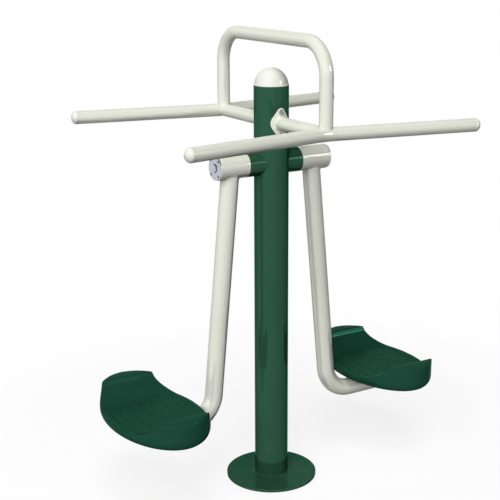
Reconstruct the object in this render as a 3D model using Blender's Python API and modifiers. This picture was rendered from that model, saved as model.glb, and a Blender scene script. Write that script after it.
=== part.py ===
"""Outdoor surf trainer: a post with two pedal arms that swing from one axle.

Metres, +Z up. The origin is the middle of the foot plate's underside. X runs
along the axle that both arms swing about, and Y runs from the front handlebar
to the back one. A user stands on a pedal between the two handlebars and swings
sideways.
"""
import math

import bmesh
import bpy
from mathutils import Matrix, Vector

# Clearances
GAP = 0.0003
RUNNING_GAP = 0.0017
OVERRUN = 0.004
WELD = 0.00001

# Counts of sides and steps
POST_SIDES = 28
TUBE_SIDES = 16
RING_STEPS = 16
BEND_STEPS = 5
BEND_STEP_ANGLE = math.radians(18)
DOME_STEPS = 3
SMALL_SIDES = 8
BALL_COUNT = 8
PEDAL_SIDES = 40
TREAD_SIDES = 28
SMOOTH_ANGLE = math.radians(35)

# Foot plate, post and cap
BASE_RADIUS = 0.155
BASE_THICKNESS = 0.010
BASE_EDGE = 0.0012
POST_RADIUS = 0.057
POST_WALL = 0.004
POST_RISE = 0.1155
POST_CAP_RIM = 0.004
POST_CAP_INSET = 0.002
POST_CAP_HEIGHT = 0.056
POST_CAP_WALL = 0.003
POST_CAP_PLUG = 0.030

# Head: the cross tube, its shaft and the two bearing housings
AXLE_HEIGHT = 1.105
HEAD_RADIUS = 0.0405
CROSS_TUBE_HALF_LENGTH = 0.098
CROSS_TUBE_WALL = 0.004
COLLAR_WIDTH = 0.012
COLLAR_SETBACK = 0.002
SHAFT_RADIUS = 0.017
HOUSING_LENGTH = 0.1055
HOUSING_EDGE = 0.0008
HOUSING_SHOULDER = 0.0025

# Bearings, as bore radius, outer radius, width and the distance from the
# housing's nearer end to the bearing's inboard face
INBOARD_BORE = 0.015
INBOARD_OUTER = 0.031
INBOARD_WIDTH = 0.016
INBOARD_SETBACK = 0.003
OUTBOARD_BORE = 0.0125
OUTBOARD_OUTER = 0.026
OUTBOARD_WIDTH = 0.015
OUTBOARD_SETBACK = 0.045
BALL_SHARE = 0.28
LAND_SHARE = 0.19
BALL_PLAY = 0.0003
CAGE_THICKNESS = 0.0024
CAGE_WIDTH = 0.003

# Shaft nuts
THREAD_RADIUS = 0.010
THREAD_LENGTH = 0.015
SEAT_RELIEF = 0.001
AXLE_NUT_ACROSS = 0.030
AXLE_NUT_THICKNESS = 0.010

# End covers and their screws
COVER_THICKNESS = 0.005
COVER_INSET = 0.001
COVER_EDGE = 0.0006
COVER_SPIGOT = 0.003
BOSS_RADIUS = 0.013
BOSS_HEIGHT = 0.004
BOSS_EDGE = 0.001
SCREW_COUNT = 4
SCREW_RADIUS = 0.0025
SCREW_LENGTH = 0.014
SCREW_HEAD_RADIUS = 0.0042
SCREW_HEAD_HEIGHT = 0.0028
SCREW_RECESS = 0.0006
SOCKET_RADIUS = 0.0018
SOCKET_DEPTH = 0.0016

# Swing arms
ARM_RADIUS = 0.030
ARM_WALL = 0.003
ARM_CLEARANCE = 0.0565
ARM_BEND_RADIUS = 0.100
ARM_FOOT_HEIGHT = 0.2535
ARM_FOOT_REACH = 0.036
ARM_PLUG_DEPTH = 0.020
ARM_PLUG_CROWN = 0.006
ARM_PLUG_WALL = 0.003

# Pedal brackets and bolts
BRACKET_HALF_LENGTH = 0.080
BRACKET_HALF_WIDTH = 0.070
BRACKET_THICKNESS = 0.006
BRACKET_STANDOFF = 0.0022
CRADLE_INSET = 0.008
CRADLE_THICKNESS = 0.006
CRADLE_HALF_WIDTH = 0.048
PEDAL_BOLT_RADIUS = 0.004
PEDAL_BOLT_LENGTH = 0.018
PEDAL_BOLT_SPACING = 0.096
PEDAL_BOLT_ACROSS = 0.013
PEDAL_BOLT_HEAD = 0.0055

# Pedals
PEDAL_CENTRE = 0.445
PEDAL_HALF_WIDTH = 0.155
PEDAL_HALF_LENGTH = 0.255
PEDAL_BOTTOM_ROUND = 0.029
PEDAL_ROUND_STEPS = 3
PEDAL_DECK_HEIGHT = 0.034
PEDAL_LIP_HEIGHT = 0.092
PEDAL_LIP_EDGE = 0.200
PEDAL_LIP_RISE = 0.110
PEDAL_WALL = 0.005
TREAD_HALF_WIDTH = 0.128
TREAD_HALF_LENGTH = 0.155
TREAD_DEPTH = 0.006
TREAD_EXPONENT = 3
BOLT_BOSS_RADIUS = 0.012
DRAIN_RADIUS = 0.004

# Handlebars and overhead loop
BAR_RADIUS = 0.0215
BAR_WALL = 0.0025
BAR_RISE = 0.1325
BAR_OFFSET = 0.310
BAR_TIP_X = 0.5206
BAR_TIP_OFFSET = 0.405
BAR_BEND_RADIUS = 0.250
BAR_CAP_CROWN = 0.019
BAR_CAP_PLUG = 0.020
BAR_CAP_WALL = 0.003
LOOP_RISE = 0.2693
LOOP_CORNER_RADIUS = 0.102

# Saddles and clamp bolts
SADDLE_THICKNESS = 0.004
SADDLE_HALF_WIDTH = 0.033
SADDLE_TIP_RADIUS = 0.013
CLAMP_BOLT_RADIUS = 0.005
CLAMP_CLEARANCE = 0.006
CLAMP_HEAD_RADIUS = 0.0085
CLAMP_HEAD_HEIGHT = 0.0055
CLAMP_HEAD_EDGE = 0.002
CLAMP_SOCKET_RADIUS = 0.0035
CLAMP_SOCKET_DEPTH = 0.003
CLAMP_NUT_ACROSS = 0.016
CLAMP_NUT_HEX = 0.008
CLAMP_NUT_DOME = 0.007
CLAMP_NUT_STEP = 0.001

# Places that follow from the sizes
BAR_HEIGHT = AXLE_HEIGHT + BAR_RISE
POST_TOP = BAR_HEIGHT + POST_RISE
LOOP_HEIGHT = BAR_HEIGHT + LOOP_RISE
HOUSING_START = CROSS_TUBE_HALF_LENGTH + RUNNING_GAP
HOUSING_END = HOUSING_START + HOUSING_LENGTH
HOUSING_MIDDLE = (HOUSING_START + HOUSING_END) / 2
INBOARD_START = HOUSING_START + INBOARD_SETBACK
OUTBOARD_START = HOUSING_END - OUTBOARD_SETBACK
OUTBOARD_END = OUTBOARD_START + OUTBOARD_WIDTH
SHAFT_END = OUTBOARD_END + THREAD_LENGTH
COVER_START = HOUSING_END + GAP
COVER_FACE = COVER_START + COVER_THICKNESS
SCREW_CIRCLE = (OUTBOARD_OUTER + HEAD_RADIUS) / 2
ARM_DROP = AXLE_HEIGHT - ARM_FOOT_HEIGHT
ARM_CORNER = PEDAL_CENTRE - PEDAL_HALF_WIDTH - ARM_CLEARANCE
ARM_FOOT_END = PEDAL_CENTRE + ARM_FOOT_REACH
BRACKET_BOTTOM = ARM_FOOT_HEIGHT + ARM_RADIUS + BRACKET_STANDOFF
BRACKET_TOP = BRACKET_BOTTOM + BRACKET_THICKNESS
PEDAL_BOTTOM = BRACKET_TOP + GAP
SADDLE_INNER = POST_RADIUS + GAP
SADDLE_OUTER = SADDLE_INNER + SADDLE_THICKNESS
CLAMP_BOLT_RISE = BAR_RADIUS + CLAMP_CLEARANCE + CLAMP_HEAD_RADIUS
SADDLE_HALF_HEIGHT = CLAMP_BOLT_RISE + SADDLE_TIP_RADIUS
CLAMP_SEAT = SADDLE_OUTER + GAP

SIDES = {"left": math.pi, "right": 0.0}
Y_TURN = Matrix.Rotation(math.pi / 2, 4, "Y")
X_TURN = Matrix.Rotation(math.pi / 2, 4, "X")


# Collections, materials and objects

def clear_scene():
    """Removes every object that the file starts with."""
    for thing in list(bpy.data.objects):
        bpy.data.objects.remove(thing, do_unlink=True)


def new_collection(name):
    """A collection linked to the scene."""
    group = bpy.data.collections.new(name)
    bpy.context.scene.collection.children.link(group)
    return group


def make_material(name, colour, roughness, metallic):
    """A Principled material with one colour."""
    material = bpy.data.materials.new(name)
    material.use_nodes = True
    shader = material.node_tree.nodes["Principled BSDF"]
    shader.inputs["Base Color"].default_value = (*colour, 1.0)
    shader.inputs["Roughness"].default_value = roughness
    shader.inputs["Metallic"].default_value = metallic
    material.diffuse_color = (*colour, 1.0)
    return material


def make_axis(name, turn):
    """An empty on the swing axis, whose X points out to its side."""
    axis = bpy.data.objects.new(name, None)
    PARTS.objects.link(axis)
    axis.location = (0, 0, AXLE_HEIGHT)
    axis.rotation_euler = (0, 0, turn)
    return axis


def add_part(name, mesh, finish, parent=None, location=(0, 0, 0), rotation=(0, 0, 0)):
    """A named piece of the model with its material."""
    part = bpy.data.objects.new(name, mesh)
    PARTS.objects.link(part)
    part.parent = parent
    part.location = location
    part.rotation_euler = rotation
    if not mesh.materials:
        mesh.materials.append(FINISHES[finish])
        mesh.shade_smooth()
        mesh.set_sharp_from_angle(angle=SMOOTH_ANGLE)
    return part


# Mesh tools. Each one returns a mesh, and leaves no object behind.

def baked(thing):
    """The object's evaluated mesh, placed by its matrix, with the object removed."""
    bpy.context.view_layer.update()
    graph = bpy.context.evaluated_depsgraph_get()
    mesh = bpy.data.meshes.new_from_object(thing.evaluated_get(graph), depsgraph=graph)
    mesh.transform(thing.matrix_world)
    bpy.data.objects.remove(thing, do_unlink=True)
    shape = bmesh.new()
    shape.from_mesh(mesh)
    bmesh.ops.remove_doubles(shape, verts=shape.verts, dist=WELD)
    shape.to_mesh(mesh)
    shape.free()
    return mesh


def moved(mesh, matrix):
    """The mesh after a move or a turn."""
    mesh.transform(matrix)
    return mesh


def box(size, centre):
    """A box from its three sizes and its centre."""
    shape = bmesh.new()
    bmesh.ops.create_cube(shape, size=1)
    bmesh.ops.scale(shape, vec=size, verts=shape.verts)
    bmesh.ops.translate(shape, vec=centre, verts=shape.verts)
    mesh = bpy.data.meshes.new("box")
    shape.to_mesh(mesh)
    shape.free()
    return mesh


def cylinder(radius, start, end, sides, turn=None):
    """A cylinder along Z from start to end, or along the turned axis."""
    shape = bmesh.new()
    bmesh.ops.create_cone(shape, cap_ends=True, segments=sides, radius1=radius,
                          radius2=radius, depth=end - start)
    bmesh.ops.translate(shape, vec=(0, 0, (start + end) / 2), verts=shape.verts)
    mesh = bpy.data.meshes.new("cylinder")
    shape.to_mesh(mesh)
    shape.free()
    if turn:
        mesh.transform(turn)
    return mesh


def turned(profile, steps, turn=None, closed=False):
    """A profile of radius and height turned about Z with a Screw modifier.

    The profile runs down the outer side. An open one starts and ends on the
    axis, and a closed one goes back up the bore.
    """
    shape = bmesh.new()
    ring = [shape.verts.new((radius, 0, height)) for radius, height in profile]
    for first, second in zip(ring, ring[1:]):
        shape.edges.new((first, second))
    if closed:
        shape.edges.new((ring[-1], ring[0]))
    mesh = bpy.data.meshes.new("profile")
    shape.to_mesh(mesh)
    shape.free()
    thing = bpy.data.objects.new("turned", mesh)
    CUTTERS.objects.link(thing)
    screw = thing.modifiers.new("Screw", "SCREW")
    screw.steps = steps
    screw.render_steps = steps
    screw.use_merge_vertices = True
    screw.merge_threshold = WELD
    if turn:
        thing.matrix_world = turn
    return baked(thing)


def curve_mesh(curve, turn=None):
    """A curve made into a closed mesh."""
    thing = bpy.data.objects.new("curve", curve)
    CUTTERS.objects.link(thing)
    if turn:
        thing.matrix_world = turn
    return baked(thing)


def tube(path, radius, sides=TUBE_SIDES):
    """A solid rod of round section along a path."""
    curve = bpy.data.curves.new("path", "CURVE")
    curve.dimensions = "3D"
    curve.bevel_depth = radius
    curve.bevel_resolution = sides // 2 - 2
    curve.use_fill_caps = True
    spline = curve.splines.new("POLY")
    spline.points.add(len(path) - 1)
    for point, place in zip(spline.points, path):
        point.co = (*place, 1)
    return curve_mesh(curve)


def prism(outline, half_depth, turn=None):
    """A flat outline thickened to both sides of its plane."""
    curve = bpy.data.curves.new("outline", "CURVE")
    curve.dimensions = "2D"
    curve.fill_mode = "BOTH"
    curve.extrude = half_depth
    spline = curve.splines.new("POLY")
    spline.points.add(len(outline) - 1)
    for point, place in zip(spline.points, outline):
        point.co = (*place, 0, 1)
    spline.use_cyclic_u = True
    return curve_mesh(curve, turn)


def combined(body, tools, operation):
    """The mesh after exact Booleans with the other meshes, which are used up."""
    thing = bpy.data.objects.new("body", body)
    PARTS.objects.link(thing)
    cutters = []
    for tool in tools:
        cutter = bpy.data.objects.new("cutter", tool)
        CUTTERS.objects.link(cutter)
        cutter.hide_render = True
        cutter.display_type = "WIRE"
        boolean = thing.modifiers.new("Boolean", "BOOLEAN")
        boolean.operation = operation
        boolean.solver = "EXACT"
        boolean.object = cutter
        cutters.append(cutter)
    mesh = baked(thing)
    for cutter in cutters:
        bpy.data.objects.remove(cutter, do_unlink=True)
    return mesh


def cut(body, *tools):
    """The body less each tool."""
    return combined(body, tools, "DIFFERENCE")


def joined(body, *tools):
    """The body and the tools as one."""
    return combined(body, tools, "UNION")


# Paths and outlines

def rounded_path(corners, radius):
    """A path through the corners, each inner one rounded by an arc."""
    points = [Vector(corners[0])]
    for before, corner, after in zip(corners, corners[1:], corners[2:]):
        corner = Vector(corner)
        inward = (Vector(before) - corner).normalized()
        onward = (Vector(after) - corner).normalized()
        half = inward.angle(onward) / 2
        middle = (inward + onward).normalized()
        centre = corner + middle * (radius / math.sin(half))
        start = corner + inward * (radius / math.tan(half))
        spoke = start - centre
        axis = inward.cross(onward).normalized()
        sweep = math.pi - 2 * half
        steps = math.ceil(sweep / BEND_STEP_ANGLE)
        for step in range(steps + 1):
            turn = Matrix.Rotation(-sweep * step / steps, 3, axis)
            points.append(centre + turn @ spoke)
    points.append(Vector(corners[-1]))
    return points


def extended(path, length):
    """The path with both its ends run on."""
    first = path[0] + (path[0] - path[1]).normalized() * length
    last = path[-1] + (path[-1] - path[-2]).normalized() * length
    return [first, *path[1:-1], last]


def pipe(path, radius, wall):
    """A hollow tube with open ends."""
    return cut(tube(path, radius), tube(extended(path, OVERRUN), radius - wall))


def arc(radius, start, end, steps, centre=(0, 0), squash=1):
    """Points on an arc, from one angle to another."""
    angles = [start + (end - start) * step / steps for step in range(steps + 1)]
    return [(centre[0] + radius * math.cos(angle),
             centre[1] + radius * squash * math.sin(angle)) for angle in angles]


def across_to_radius(across):
    """The corner radius of a hexagon from its width across flats."""
    return across / math.sqrt(3)


# Foot plate, post and cap

def base_plate_mesh():
    """The foot plate, with a small chamfer round its upper edge."""
    profile = [(0, BASE_THICKNESS), (BASE_RADIUS - BASE_EDGE, BASE_THICKNESS),
               (BASE_RADIUS, BASE_THICKNESS - BASE_EDGE), (BASE_RADIUS, 0), (0, 0)]
    return turned(profile, POST_SIDES)


def post_mesh():
    """The post tube, bored for the cross tube and for the clamp bolts."""
    bottom = BASE_THICKNESS + GAP
    body = cylinder(POST_RADIUS, bottom, POST_TOP, POST_SIDES)
    tools = [cylinder(POST_RADIUS - POST_WALL, bottom - OVERRUN, POST_TOP + OVERRUN, POST_SIDES)]
    reach = POST_RADIUS + OVERRUN
    to_axle = Matrix.Translation((0, 0, AXLE_HEIGHT))
    tools.append(cylinder(HEAD_RADIUS + GAP, -reach, reach, POST_SIDES, to_axle @ Y_TURN))
    for rise in (-CLAMP_BOLT_RISE, CLAMP_BOLT_RISE):
        to_bolt = Matrix.Translation((0, 0, BAR_HEIGHT + rise))
        tools.append(cylinder(CLAMP_BOLT_RADIUS + GAP, -reach, reach, SMALL_SIDES, to_bolt @ X_TURN))
    return cut(body, *tools)


def post_cap_mesh():
    """The domed cap: a crown, a rim flush with the post and a plug inside it."""
    plug = POST_RADIUS - POST_WALL - GAP
    shoulder = math.asin(POST_CAP_RIM / POST_CAP_HEIGHT)
    crown = POST_RADIUS - POST_CAP_INSET
    outer = arc(crown, math.pi / 2, shoulder, BEND_STEPS, squash=POST_CAP_HEIGHT / crown)
    hollow = plug - POST_CAP_WALL
    inner = arc(hollow, 0, math.pi / 2, DOME_STEPS, squash=(POST_CAP_HEIGHT - POST_CAP_WALL) / hollow)
    outer[0] = (0, POST_CAP_HEIGHT)
    inner[-1] = (0, inner[-1][1])
    rim = [(POST_RADIUS, POST_CAP_RIM), (POST_RADIUS, 0), (plug, 0), (plug, -POST_CAP_PLUG),
           (hollow, -POST_CAP_PLUG)]
    return turned(outer + rim + inner, POST_SIDES)


# Head

def cross_tube_mesh():
    """The green tube through the post."""
    end = CROSS_TUBE_HALF_LENGTH
    body = cylinder(HEAD_RADIUS, -end, end, POST_SIDES, Y_TURN)
    bore = cylinder(HEAD_RADIUS - CROSS_TUBE_WALL, -end - OVERRUN, end + OVERRUN, POST_SIDES, Y_TURN)
    return cut(body, bore)


def ring_profile(bore, outer, start, end):
    """A plain ring's section."""
    return [(outer, end), (outer, start), (bore, start), (bore, end)]


def shaft_collar_mesh():
    """The ring that carries the shaft in the cross tube's end."""
    end = CROSS_TUBE_HALF_LENGTH - COLLAR_SETBACK
    profile = ring_profile(SHAFT_RADIUS + GAP, HEAD_RADIUS - CROSS_TUBE_WALL - GAP,
                           end - COLLAR_WIDTH, end)
    return turned(profile, RING_STEPS, Y_TURN, closed=True)


def axle_shaft_mesh():
    """The stepped shaft: a middle, two bearing seats and a thread at each end."""
    half = [(SHAFT_RADIUS, INBOARD_START - GAP), (INBOARD_BORE - GAP, INBOARD_START - GAP),
            (INBOARD_BORE - GAP, OUTBOARD_START - GAP), (OUTBOARD_BORE - GAP, OUTBOARD_START - GAP),
            (OUTBOARD_BORE - GAP, OUTBOARD_END - SEAT_RELIEF),
            (THREAD_RADIUS, OUTBOARD_END - SEAT_RELIEF), (THREAD_RADIUS, SHAFT_END), (0, SHAFT_END)]
    mirrored = [(radius, -height) for radius, height in half]
    return turned(half[::-1] + mirrored, RING_STEPS, Y_TURN)


def bearing_sizes(bore, outer):
    """A ball bearing's pitch radius, groove radius and land offset."""
    pitch = (bore + outer) / 2
    groove = (outer - bore) * BALL_SHARE
    land = (outer - bore) * LAND_SHARE
    return pitch, groove, land


def inner_race_mesh(bore, outer, start, width):
    """The ring on the shaft, with the ball groove in its outer face."""
    pitch, groove, land = bearing_sizes(bore, outer)
    middle = start + width / 2
    reach = math.acos(land / groove)
    track = arc(groove, math.pi - reach, math.pi + reach, DOME_STEPS, (pitch, middle))
    edge = pitch - land
    profile = [(edge, start + width), *track, (edge, start), (bore, start), (bore, start + width)]
    return turned(profile, RING_STEPS, Y_TURN, closed=True)


def outer_race_mesh(bore, outer, start, width):
    """The ring in the housing, with the ball groove in its bore."""
    pitch, groove, land = bearing_sizes(bore, outer)
    middle = start + width / 2
    reach = math.acos(land / groove)
    track = arc(groove, -reach, reach, DOME_STEPS, (pitch, middle))
    edge = pitch + land
    profile = [(outer, start + width), (outer, start), (edge, start), *track, (edge, start + width)]
    return turned(profile, RING_STEPS, Y_TURN, closed=True)


def ball_cage_mesh(bore, outer, start, width):
    """The cage ring with its balls."""
    pitch, groove, _ = bearing_sizes(bore, outer)
    middle = start + width / 2
    profile = ring_profile(pitch - CAGE_THICKNESS / 2, pitch + CAGE_THICKNESS / 2,
                           middle - CAGE_WIDTH / 2, middle + CAGE_WIDTH / 2)
    ring = turned(profile, BALL_COUNT * 2, Y_TURN, closed=True)
    shape = bmesh.new()
    for ball in range(BALL_COUNT):
        turn = Matrix.Rotation(math.tau * ball / BALL_COUNT, 4, "X")
        place = turn @ Matrix.Translation((middle, 0, pitch)) @ Y_TURN
        bmesh.ops.create_icosphere(shape, subdivisions=1, radius=groove - BALL_PLAY, matrix=place)
    balls = bpy.data.meshes.new("balls")
    shape.to_mesh(balls)
    shape.free()
    return joined(ring, balls)


def axle_nut_mesh():
    """A shaft nut, up against the outboard bearing."""
    start = OUTBOARD_END + GAP
    end = start + AXLE_NUT_THICKNESS
    body = cylinder(across_to_radius(AXLE_NUT_ACROSS), start, end, 6, Y_TURN)
    return cut(body, cylinder(THREAD_RADIUS + GAP, start - OVERRUN, end + OVERRUN, RING_STEPS, Y_TURN))


def screw_places():
    """The cover screws' places round the housing's end, as Y and Z."""
    return arc(SCREW_CIRCLE, math.pi / 4, math.pi / 4 + math.tau, SCREW_COUNT)[:-1]


def bearing_housing_mesh():
    """The housing: two bearing seats with a shoulder between them."""
    inboard = INBOARD_OUTER + GAP
    outboard = OUTBOARD_OUTER + GAP
    shoulder = OUTBOARD_OUTER - HOUSING_SHOULDER
    profile = [(HEAD_RADIUS - HOUSING_EDGE, HOUSING_END), (HEAD_RADIUS, HOUSING_END - HOUSING_EDGE),
               (HEAD_RADIUS, HOUSING_START + HOUSING_EDGE), (HEAD_RADIUS - HOUSING_EDGE, HOUSING_START),
               (inboard, HOUSING_START), (inboard, INBOARD_START + INBOARD_WIDTH + GAP),
               (shoulder, INBOARD_START + INBOARD_WIDTH + GAP), (shoulder, OUTBOARD_START - GAP),
               (outboard, OUTBOARD_START - GAP), (outboard, HOUSING_END)]
    body = turned(profile, POST_SIDES, Y_TURN, closed=True)
    holes = []
    for across, up in screw_places():
        place = Matrix.Translation((0, across, up)) @ Y_TURN
        holes.append(cylinder(SCREW_RADIUS + GAP, HOUSING_END - SCREW_LENGTH - GAP,
                              HOUSING_END + OVERRUN, SMALL_SIDES, place))
    return cut(body, *holes)


def end_cover_mesh():
    """The silver end cover: a disc with a boss, a spigot and counterbored screw holes."""
    boss = COVER_FACE + BOSS_HEIGHT
    rim = HEAD_RADIUS - COVER_INSET
    profile = [(0, boss), (BOSS_RADIUS - BOSS_EDGE, boss), (BOSS_RADIUS, boss - BOSS_EDGE),
               (BOSS_RADIUS, COVER_FACE), (rim - COVER_EDGE, COVER_FACE),
               (rim, COVER_FACE - COVER_EDGE), (rim, COVER_START),
               (OUTBOARD_OUTER, COVER_START), (OUTBOARD_OUTER, COVER_START - COVER_SPIGOT),
               (0, COVER_START - COVER_SPIGOT)]
    body = turned(profile, POST_SIDES, Y_TURN)
    seat = COVER_FACE - SCREW_HEAD_HEIGHT - SCREW_RECESS - GAP
    holes = []
    for across, up in screw_places():
        place = Matrix.Translation((0, across, up)) @ Y_TURN
        holes.append(cylinder(SCREW_RADIUS + GAP, COVER_START - OVERRUN, seat + OVERRUN,
                              SMALL_SIDES, place))
        holes.append(cylinder(SCREW_HEAD_RADIUS + GAP, seat, COVER_FACE + OVERRUN, SMALL_SIDES, place))
    return cut(body, *holes)


def cover_screw_mesh():
    """A socket head screw along X, with the underside of its head at the origin."""
    reach = SCREW_LENGTH + COVER_THICKNESS - SCREW_HEAD_HEIGHT - SCREW_RECESS - GAP
    profile = [(0, SCREW_HEAD_HEIGHT), (SCREW_HEAD_RADIUS, SCREW_HEAD_HEIGHT), (SCREW_HEAD_RADIUS, 0),
               (SCREW_RADIUS, 0), (SCREW_RADIUS, -reach), (0, -reach)]
    body = turned(profile, SMALL_SIDES, Y_TURN)
    top = SCREW_HEAD_HEIGHT
    return cut(body, cylinder(SOCKET_RADIUS, top - SOCKET_DEPTH, top + OVERRUN, 6, Y_TURN))


# Swing arm. Its meshes are made about the swing axis, X outwards.

def arm_path():
    """The arm's centreline, from the axle down and out under the pedal."""
    corners = [(HOUSING_MIDDLE, 0, 0), (ARM_CORNER, 0, -ARM_DROP), (ARM_FOOT_END, 0, -ARM_DROP)]
    return rounded_path(corners, ARM_BEND_RADIUS)


def swing_arm_mesh():
    """The bent arm tube, its top coped to the housing."""
    housing = cylinder(HEAD_RADIUS + GAP, HOUSING_START - OVERRUN, HOUSING_END + OVERRUN,
                       POST_SIDES, Y_TURN)
    return cut(pipe(arm_path(), ARM_RADIUS, ARM_WALL), housing)


def plug_mesh(radius, wall, crown, depth, plug_wall, steps):
    """A crowned plug for a tube's end: the tube's end is at zero, the crown is above."""
    spigot = radius - wall - GAP
    hollow = spigot - plug_wall
    dome = arc(radius, math.pi / 2, 0, DOME_STEPS, squash=crown / radius)
    dome[0] = (0, crown)
    rest = [(spigot, 0), (spigot, -depth), (hollow, -depth), (hollow, 0), (0, 0)]
    return turned(dome + rest, steps, Y_TURN)


def bracket_mesh():
    """The plate under the pedal with two cradles that sit on the arm tube."""
    plate_middle = (BRACKET_BOTTOM + BRACKET_TOP) / 2 - AXLE_HEIGHT
    plate = box((2 * BRACKET_HALF_LENGTH, 2 * BRACKET_HALF_WIDTH, BRACKET_THICKNESS),
                (PEDAL_CENTRE, 0, plate_middle))
    cradles = []
    for side in (-1, 1):
        height = (BRACKET_BOTTOM + BRACKET_TOP) / 2 - ARM_FOOT_HEIGHT
        reach = side * (ARM_FOOT_REACH - CRADLE_INSET)
        centre = (PEDAL_CENTRE + reach, 0, height / 2 - ARM_DROP)
        cradles.append(box((CRADLE_THICKNESS, 2 * CRADLE_HALF_WIDTH, height), centre))
    body = joined(plate, *cradles)
    along = Matrix.Translation((0, 0, -ARM_DROP)) @ Y_TURN
    tools = [cylinder(ARM_RADIUS + GAP, PEDAL_CENTRE - BRACKET_HALF_LENGTH - OVERRUN,
                      PEDAL_CENTRE + BRACKET_HALF_LENGTH + OVERRUN, TUBE_SIDES * 2, along)]
    for place in pedal_bolt_places():
        start = BRACKET_BOTTOM - AXLE_HEIGHT - OVERRUN
        end = BRACKET_TOP - AXLE_HEIGHT + OVERRUN
        tools.append(cylinder(PEDAL_BOLT_RADIUS + GAP, start, end, SMALL_SIDES,
                              Matrix.Translation(place)))
    return cut(body, *tools)


def pedal_bolt_places():
    """The two bolts' places, one on each side of the arm tube."""
    return [(PEDAL_CENTRE, -PEDAL_BOLT_SPACING / 2, 0), (PEDAL_CENTRE, PEDAL_BOLT_SPACING / 2, 0)]


def pedal_bolt_mesh():
    """A hexagon bolt that points up, with its head's upper face at the origin."""
    head = cylinder(across_to_radius(PEDAL_BOLT_ACROSS), -PEDAL_BOLT_HEAD, 0, 6)
    shank_end = GAP + BRACKET_THICKNESS + GAP + PEDAL_BOLT_LENGTH
    shank = cylinder(PEDAL_BOLT_RADIUS, -PEDAL_BOLT_HEAD / 2, shank_end, SMALL_SIDES)
    return joined(head, shank)


def lip_outline(edge, deck, top):
    """The space over the pedal's deck, seen along X: it rises at both ends."""
    start = edge - PEDAL_LIP_RISE
    height = PEDAL_LIP_HEIGHT - PEDAL_DECK_HEIGHT
    squash = height / PEDAL_LIP_RISE
    centre = (start, deck + height)
    curve = arc(PEDAL_LIP_RISE, -math.pi / 2, 0, BEND_STEPS, centre, squash)
    right = [*curve, (edge, top)]
    left = [(-across, up) for across, up in reversed(right)]
    return left + right


def tread_outline(half_width, half_length, steps):
    """The tread's rounded outline, between an ellipse and a rectangle."""
    points = []
    for step in range(steps):
        angle = math.tau * step / steps
        across = abs(math.cos(angle)) ** (2 / TREAD_EXPONENT)
        along = abs(math.sin(angle)) ** (2 / TREAD_EXPONENT)
        points.append((math.copysign(across * half_width, math.cos(angle)),
                       math.copysign(along * half_length, math.sin(angle))))
    return points


def pedal_body(inset, sides):
    """The pedal's whole outer form, or a smaller copy of it for the hollow."""
    shape = bmesh.new()
    bmesh.ops.create_cone(shape, cap_ends=True, segments=sides, radius1=1, radius2=1, depth=1)
    bottom = [edge for edge in shape.edges if all(vert.co.z < 0 for vert in edge.verts)]
    height = PEDAL_LIP_HEIGHT - 2 * inset
    size = (PEDAL_HALF_WIDTH - inset, PEDAL_HALF_LENGTH - inset, height)
    bmesh.ops.scale(shape, vec=size, verts=shape.verts)
    bmesh.ops.translate(shape, vec=(0, 0, inset + height / 2), verts=shape.verts)
    bmesh.ops.bevel(shape, geom=bottom, offset=PEDAL_BOTTOM_ROUND - inset,
                    segments=PEDAL_ROUND_STEPS, profile=0.5, affect="EDGES")
    mesh = bpy.data.meshes.new("pedal")
    shape.to_mesh(mesh)
    shape.free()
    return mesh


def pedal_space(inset):
    """What is cut from above, or what the hollow keeps clear of."""
    turn = Matrix(((0, 0, 1, 0), (1, 0, 0, 0), (0, 1, 0, 0), (0, 0, 0, 1)))
    top = PEDAL_LIP_HEIGHT + OVERRUN
    outline = lip_outline(PEDAL_LIP_EDGE + inset, PEDAL_DECK_HEIGHT - inset, top)
    lips = prism(outline, PEDAL_HALF_WIDTH + OVERRUN, turn)
    floor = PEDAL_DECK_HEIGHT - TREAD_DEPTH - inset
    outline = tread_outline(TREAD_HALF_WIDTH + inset, TREAD_HALF_LENGTH + inset, TREAD_SIDES)
    place = Matrix.Translation((0, 0, (floor + top) / 2))
    return lips, prism(outline, (top - floor) / 2, place)


def pedal_mesh():
    """The pedal: a hollow moulding with bosses for its bolts and two drain holes."""
    hollow = cut(pedal_body(PEDAL_WALL, PEDAL_SIDES // 2), *pedal_space(PEDAL_WALL))
    bosses = []
    holes = []
    for _, along, _ in pedal_bolt_places():
        place = Matrix.Translation((0, along, 0))
        bosses.append(cylinder(BOLT_BOSS_RADIUS, -OVERRUN, PEDAL_LIP_HEIGHT, SMALL_SIDES, place))
        holes.append(cylinder(PEDAL_BOLT_RADIUS + GAP, -OVERRUN, PEDAL_BOLT_LENGTH + GAP + GAP,
                              SMALL_SIDES, place))
    drain_place = PEDAL_HALF_LENGTH - PEDAL_BOTTOM_ROUND - 2 * DRAIN_RADIUS
    for along in (-drain_place, drain_place):
        holes.append(cylinder(DRAIN_RADIUS, -OVERRUN, PEDAL_WALL + OVERRUN, SMALL_SIDES,
                              Matrix.Translation((0, along, 0))))
    hollow = cut(hollow, *bosses)
    body = cut(pedal_body(0, PEDAL_SIDES), *pedal_space(0))
    body = cut(body, hollow)
    body = cut(body, *holes)
    return moved(body, Matrix.Translation((PEDAL_CENTRE, 0, PEDAL_BOTTOM - AXLE_HEIGHT)))


# Handlebars, loop, saddles and clamp bolts

def bar_direction():
    """The way from a handlebar's middle to its right tip, and the distance."""
    out = Vector((BAR_TIP_X, BAR_TIP_OFFSET - BAR_OFFSET, 0))
    return out.normalized(), out.length


def bar_path():
    """The back handlebar's centreline, less its end caps."""
    out, length = bar_direction()
    middle = Vector((0, BAR_OFFSET, BAR_HEIGHT))
    right = middle + out * (length - BAR_CAP_CROWN - GAP)
    left = Vector((-right.x, right.y, right.z))
    return rounded_path([left, middle, right], BAR_BEND_RADIUS)


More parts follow.
